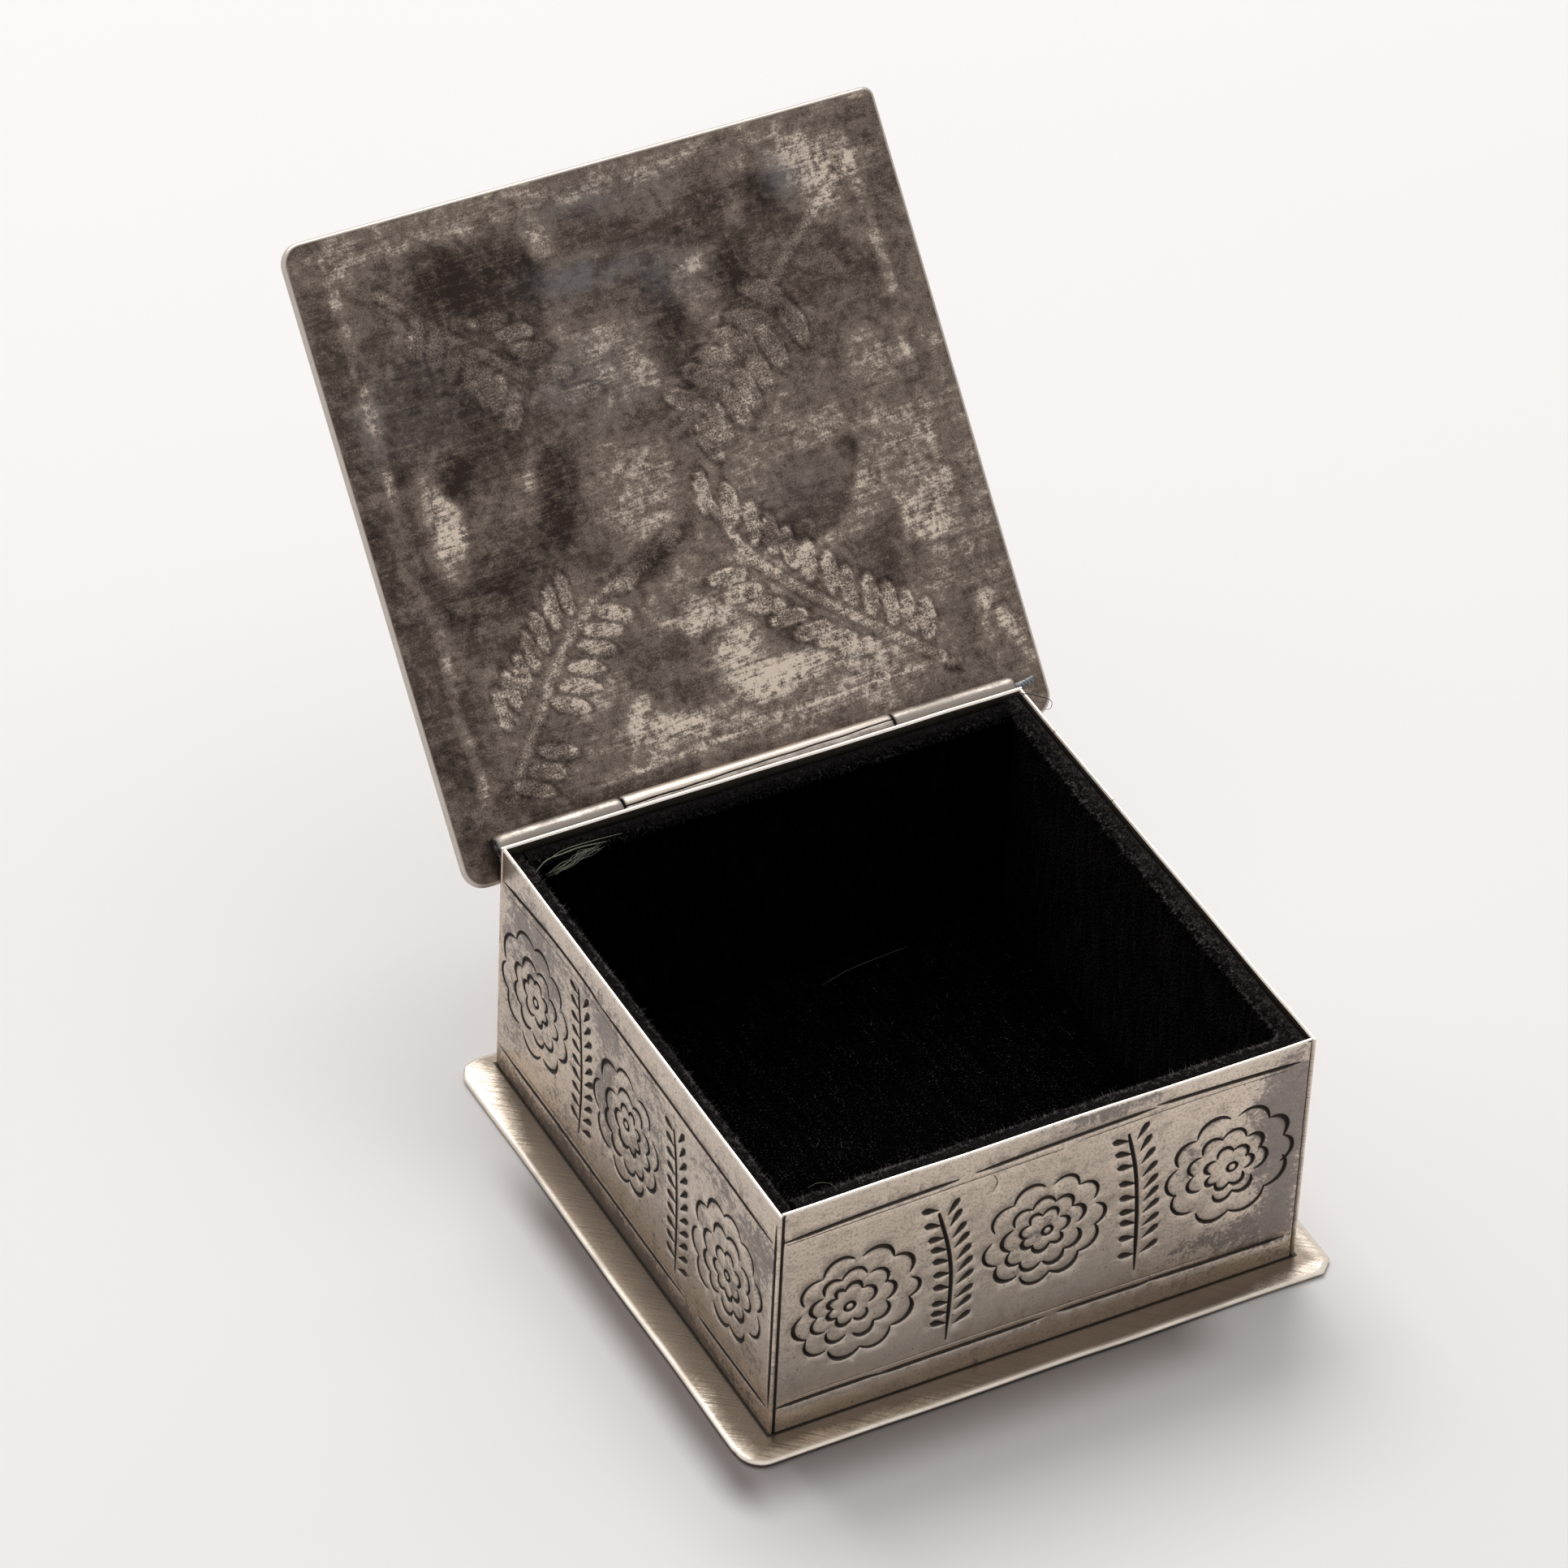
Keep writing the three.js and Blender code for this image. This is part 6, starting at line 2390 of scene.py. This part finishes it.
@dataclass
class Lining:
    """Velvet over card on the floor and the four walls, with its loose threads and lint."""

    pile: Finish = VelvetPile("black_velvet", (0.0014, 0.0012, 0.0013), 1.0, 0.0)
    nap: Finish = NapFibre("worn_pile", (0.020, 0.018, 0.018), 0.9, 0.0)
    card: Finish = CardBoard("grey_card", (0.48, 0.43, 0.35), 0.95, 0.0)
    pale_thread: Finish = Thread("pale_thread", (0.30, 0.32, 0.25), 0.8, 0.0)
    dark_thread: Finish = Thread("dark_thread", (0.035, 0.033, 0.036), 0.8, 0.0)
    specks: int = 520

    def panels(self) -> list[LiningPanel]:
        """Places the four wall panels inside the walls.

        Returns:
            The four panels.
        """
        inner = HALF_WIDTH - WALL_SHEET
        front = FRONT_FACE + WALL_SHEET
        cross = inner - 2.25
        deep = SIDE_REAR - front
        return [
            LiningPanel("front", (-cross, front, FLOOR_LEVEL), (1, 0, 0), (0, 1, 0), 2 * cross, 81,
                        end_cove=3.0, height=36.95, wear_and_sheen=1.7),
            LiningPanel("rear", (-cross, SIDE_REAR, FLOOR_LEVEL), (1, 0, 0), (0, -1, 0), 2 * cross, 82,
                        start_cove=1.2, end_cove=1.4, wear_and_sheen=0.45),
            LiningPanel("left", (-inner, front + 0.05, FLOOR_LEVEL), (0, 1, 0), (1, 0, 0), deep - 0.1, 83,
                        wear_and_sheen=1.3),
            # The right panel's face has a painted sheen, set by nap.
            LiningPanel("right", (inner, front + 0.05, FLOOR_LEVEL), (0, 1, 0), (-1, 0, 0), deep - 0.1, 84,
                        height=36.4, wear_and_sheen=1.7, nap=0.8)]

    def floor(self) -> bpy.types.Object:
        """Makes the floor's velvet, a soft sheet with rolled edges.

        Returns:
            The piece.
        """
        low, high = node_box("floor_velvet")
        count = 72
        share = np.linspace(0, 1, count)
        x, y = np.meshgrid(low[0] + 0.05 + share * (high[0] - low[0] - 0.1),
                           low[1] + 0.05 + share * (high[1] - low[1] - 0.1))
        inset = np.minimum.reduce([x - low[0], high[0] - x, y - low[1], high[1] - y])
        soft = 0.12 * Noise(91).layers(x, y, 11.0, 3)
        top = high[2] + soft - 0.35 * smooth_step(inset, 1.6, 0.0)
        draft = Draft()
        tables = []
        for level, deep in ((top, 0.0), (np.full(x.shape, low[2] + 0.01), 5.0)):
            points = np.stack([x, y, level], -1).reshape(-1, 3)
            flat = np.column_stack([points[:, 0], points[:, 1], np.full(len(points), deep)])
            tables.append(draft.add(points, flat=flat).reshape(count, count))
        for table in tables:
            draft.grid(table)
        edge = [np.concatenate([table[0, :-1], table[:-1, -1], table[-1, :0:-1], table[:0:-1, 0]])
                for table in tables]
        draft.strip(edge[0], edge[1], True)
        cloth = draft.piece("floor_lining", self.pile, Body.BOX, Slot.VELVET, ["floor_velvet"], sharp=60)
        return cloth

    def lint(self) -> bpy.types.Object:
        """Scatters short curled specks of lint over the floor's velvet.

        Returns:
            The piece.
        """
        hand = np.random.default_rng(95)
        low, high = node_box("floor_velvet")
        draft = Draft()
        for _ in range(self.specks):
            middle = np.array([hand.uniform(low[0] + 2, high[0] - 2),
                               hand.uniform(low[1] + 2, high[1] - 2), high[2] + 0.16])
            turn, long = hand.uniform(0, math.pi), hand.uniform(0.1, 0.55)
            way = np.array([math.cos(turn), math.sin(turn), hand.uniform(-0.1, 0.4)]) * long
            side = np.array([-math.sin(turn), math.cos(turn), 0.0]) * 0.035
            rows = np.array([middle - way + side, middle - way - side, middle - way + [0, 0, 0.05],
                             middle + way])
            shade = np.tile([hand.uniform(0, 60), hand.uniform(0, 60), 0], (4, 1))
            a, b, c, d = draft.add(rows, flat=shade, glow=0.9 * hand.uniform(0, 1) ** 2)
            draft.faces += [(a, b, d), (b, c, d), (c, a, d), (c, b, a)]
        return draft.piece("lining_lint", self.nap, Body.BOX, Slot.VELVET, sharp=60)

    def strands(self) -> None:
        """Lays the loose threads and hairs where the photograph shows them."""
        top = RIM_LEVEL - 1.05
        strands = (
            Strand("pale_thread_long", ((-35.6, 33.6, top - 0.6), (-33.4, 34.7, top),
                                        (-31.0, 34.9, top + 0.1), (-28.2, 35.3, top - 0.1),
                                        (-24.4, 35.4, top - 0.6)), 0.11, self.pale_thread),
            Strand("pale_thread_short", ((-33.8, 34.4, top + 0.1), (-30.6, 35.4, top + 0.2),
                                         (-27.0, 35.7, top), (-22.0, 35.6, top - 0.2)), 0.06,
                   self.pale_thread),
            Strand("pale_tuft", ((-33.0, 32.7, top - 0.5), (-30.8, 33.2, top - 0.1), (-28.4, 33.9, top),
                                 (-26.0, 34.5, top - 0.2)), 0.03, self.pale_thread,
                   copies=13, spread=0.3),
            Strand("dark_thread_loop", ((34.4, 37.0, top + 0.6), (36.6, 37.3, RIM_LEVEL - 0.1),
                                        (37.7, 36.9, RIM_LEVEL + 0.02), (38.7, 36.2, RIM_LEVEL - 0.05),
                                        (40.2, 34.4, RIM_LEVEL - 0.15), (39.4, 33.2, RIM_LEVEL - 0.4),
                                        (38.15, 33.6, RIM_LEVEL - 0.25)), 0.05, self.dark_thread),
            Strand("floor_hair", ((6.4, 31.6, 3.35), (10.5, 32.6, 3.5), (15.0, 33.2, 3.4),
                                  (20.3, 33.6, 3.35)), 0.035, self.pale_thread),
            Strand("corner_hair", ((-31.4, -33.0, 36.2), (-30.2, -33.4, 36.9), (-29.0, -34.4, 37.1),
                                   (-28.7, -35.6, 36.9)), 0.03, self.pale_thread))
        for strand in strands:
            strand.build()

    def build(self) -> None:
        """Makes the velvet, the worn pile, the loose bits, and dresses the cards."""
        for panel in self.panels():
            panel.build(self.pile, self.nap)
        self.floor()
        self.lint()
        self.strands()
        for side in ("floor", "front", "rear", "left", "right"):
            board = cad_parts[side + "_card"]
            board.data.materials.clear()
            board.data.materials.append(self.card.material())
            LOG.info("%s_card: dressed", side)


def main() -> None:
    """Builds the studio and the box piece by piece."""
    logging.basicConfig(level=logging.INFO, format="%(name)s: %(message)s")
    Viewpoint().build()
    Studio().build()
    WallSet().build()
    BasePlate().build()
    Hinge().build()
    Lid().build()
    Lining().build()


if __name__ == "__main__":
    main()
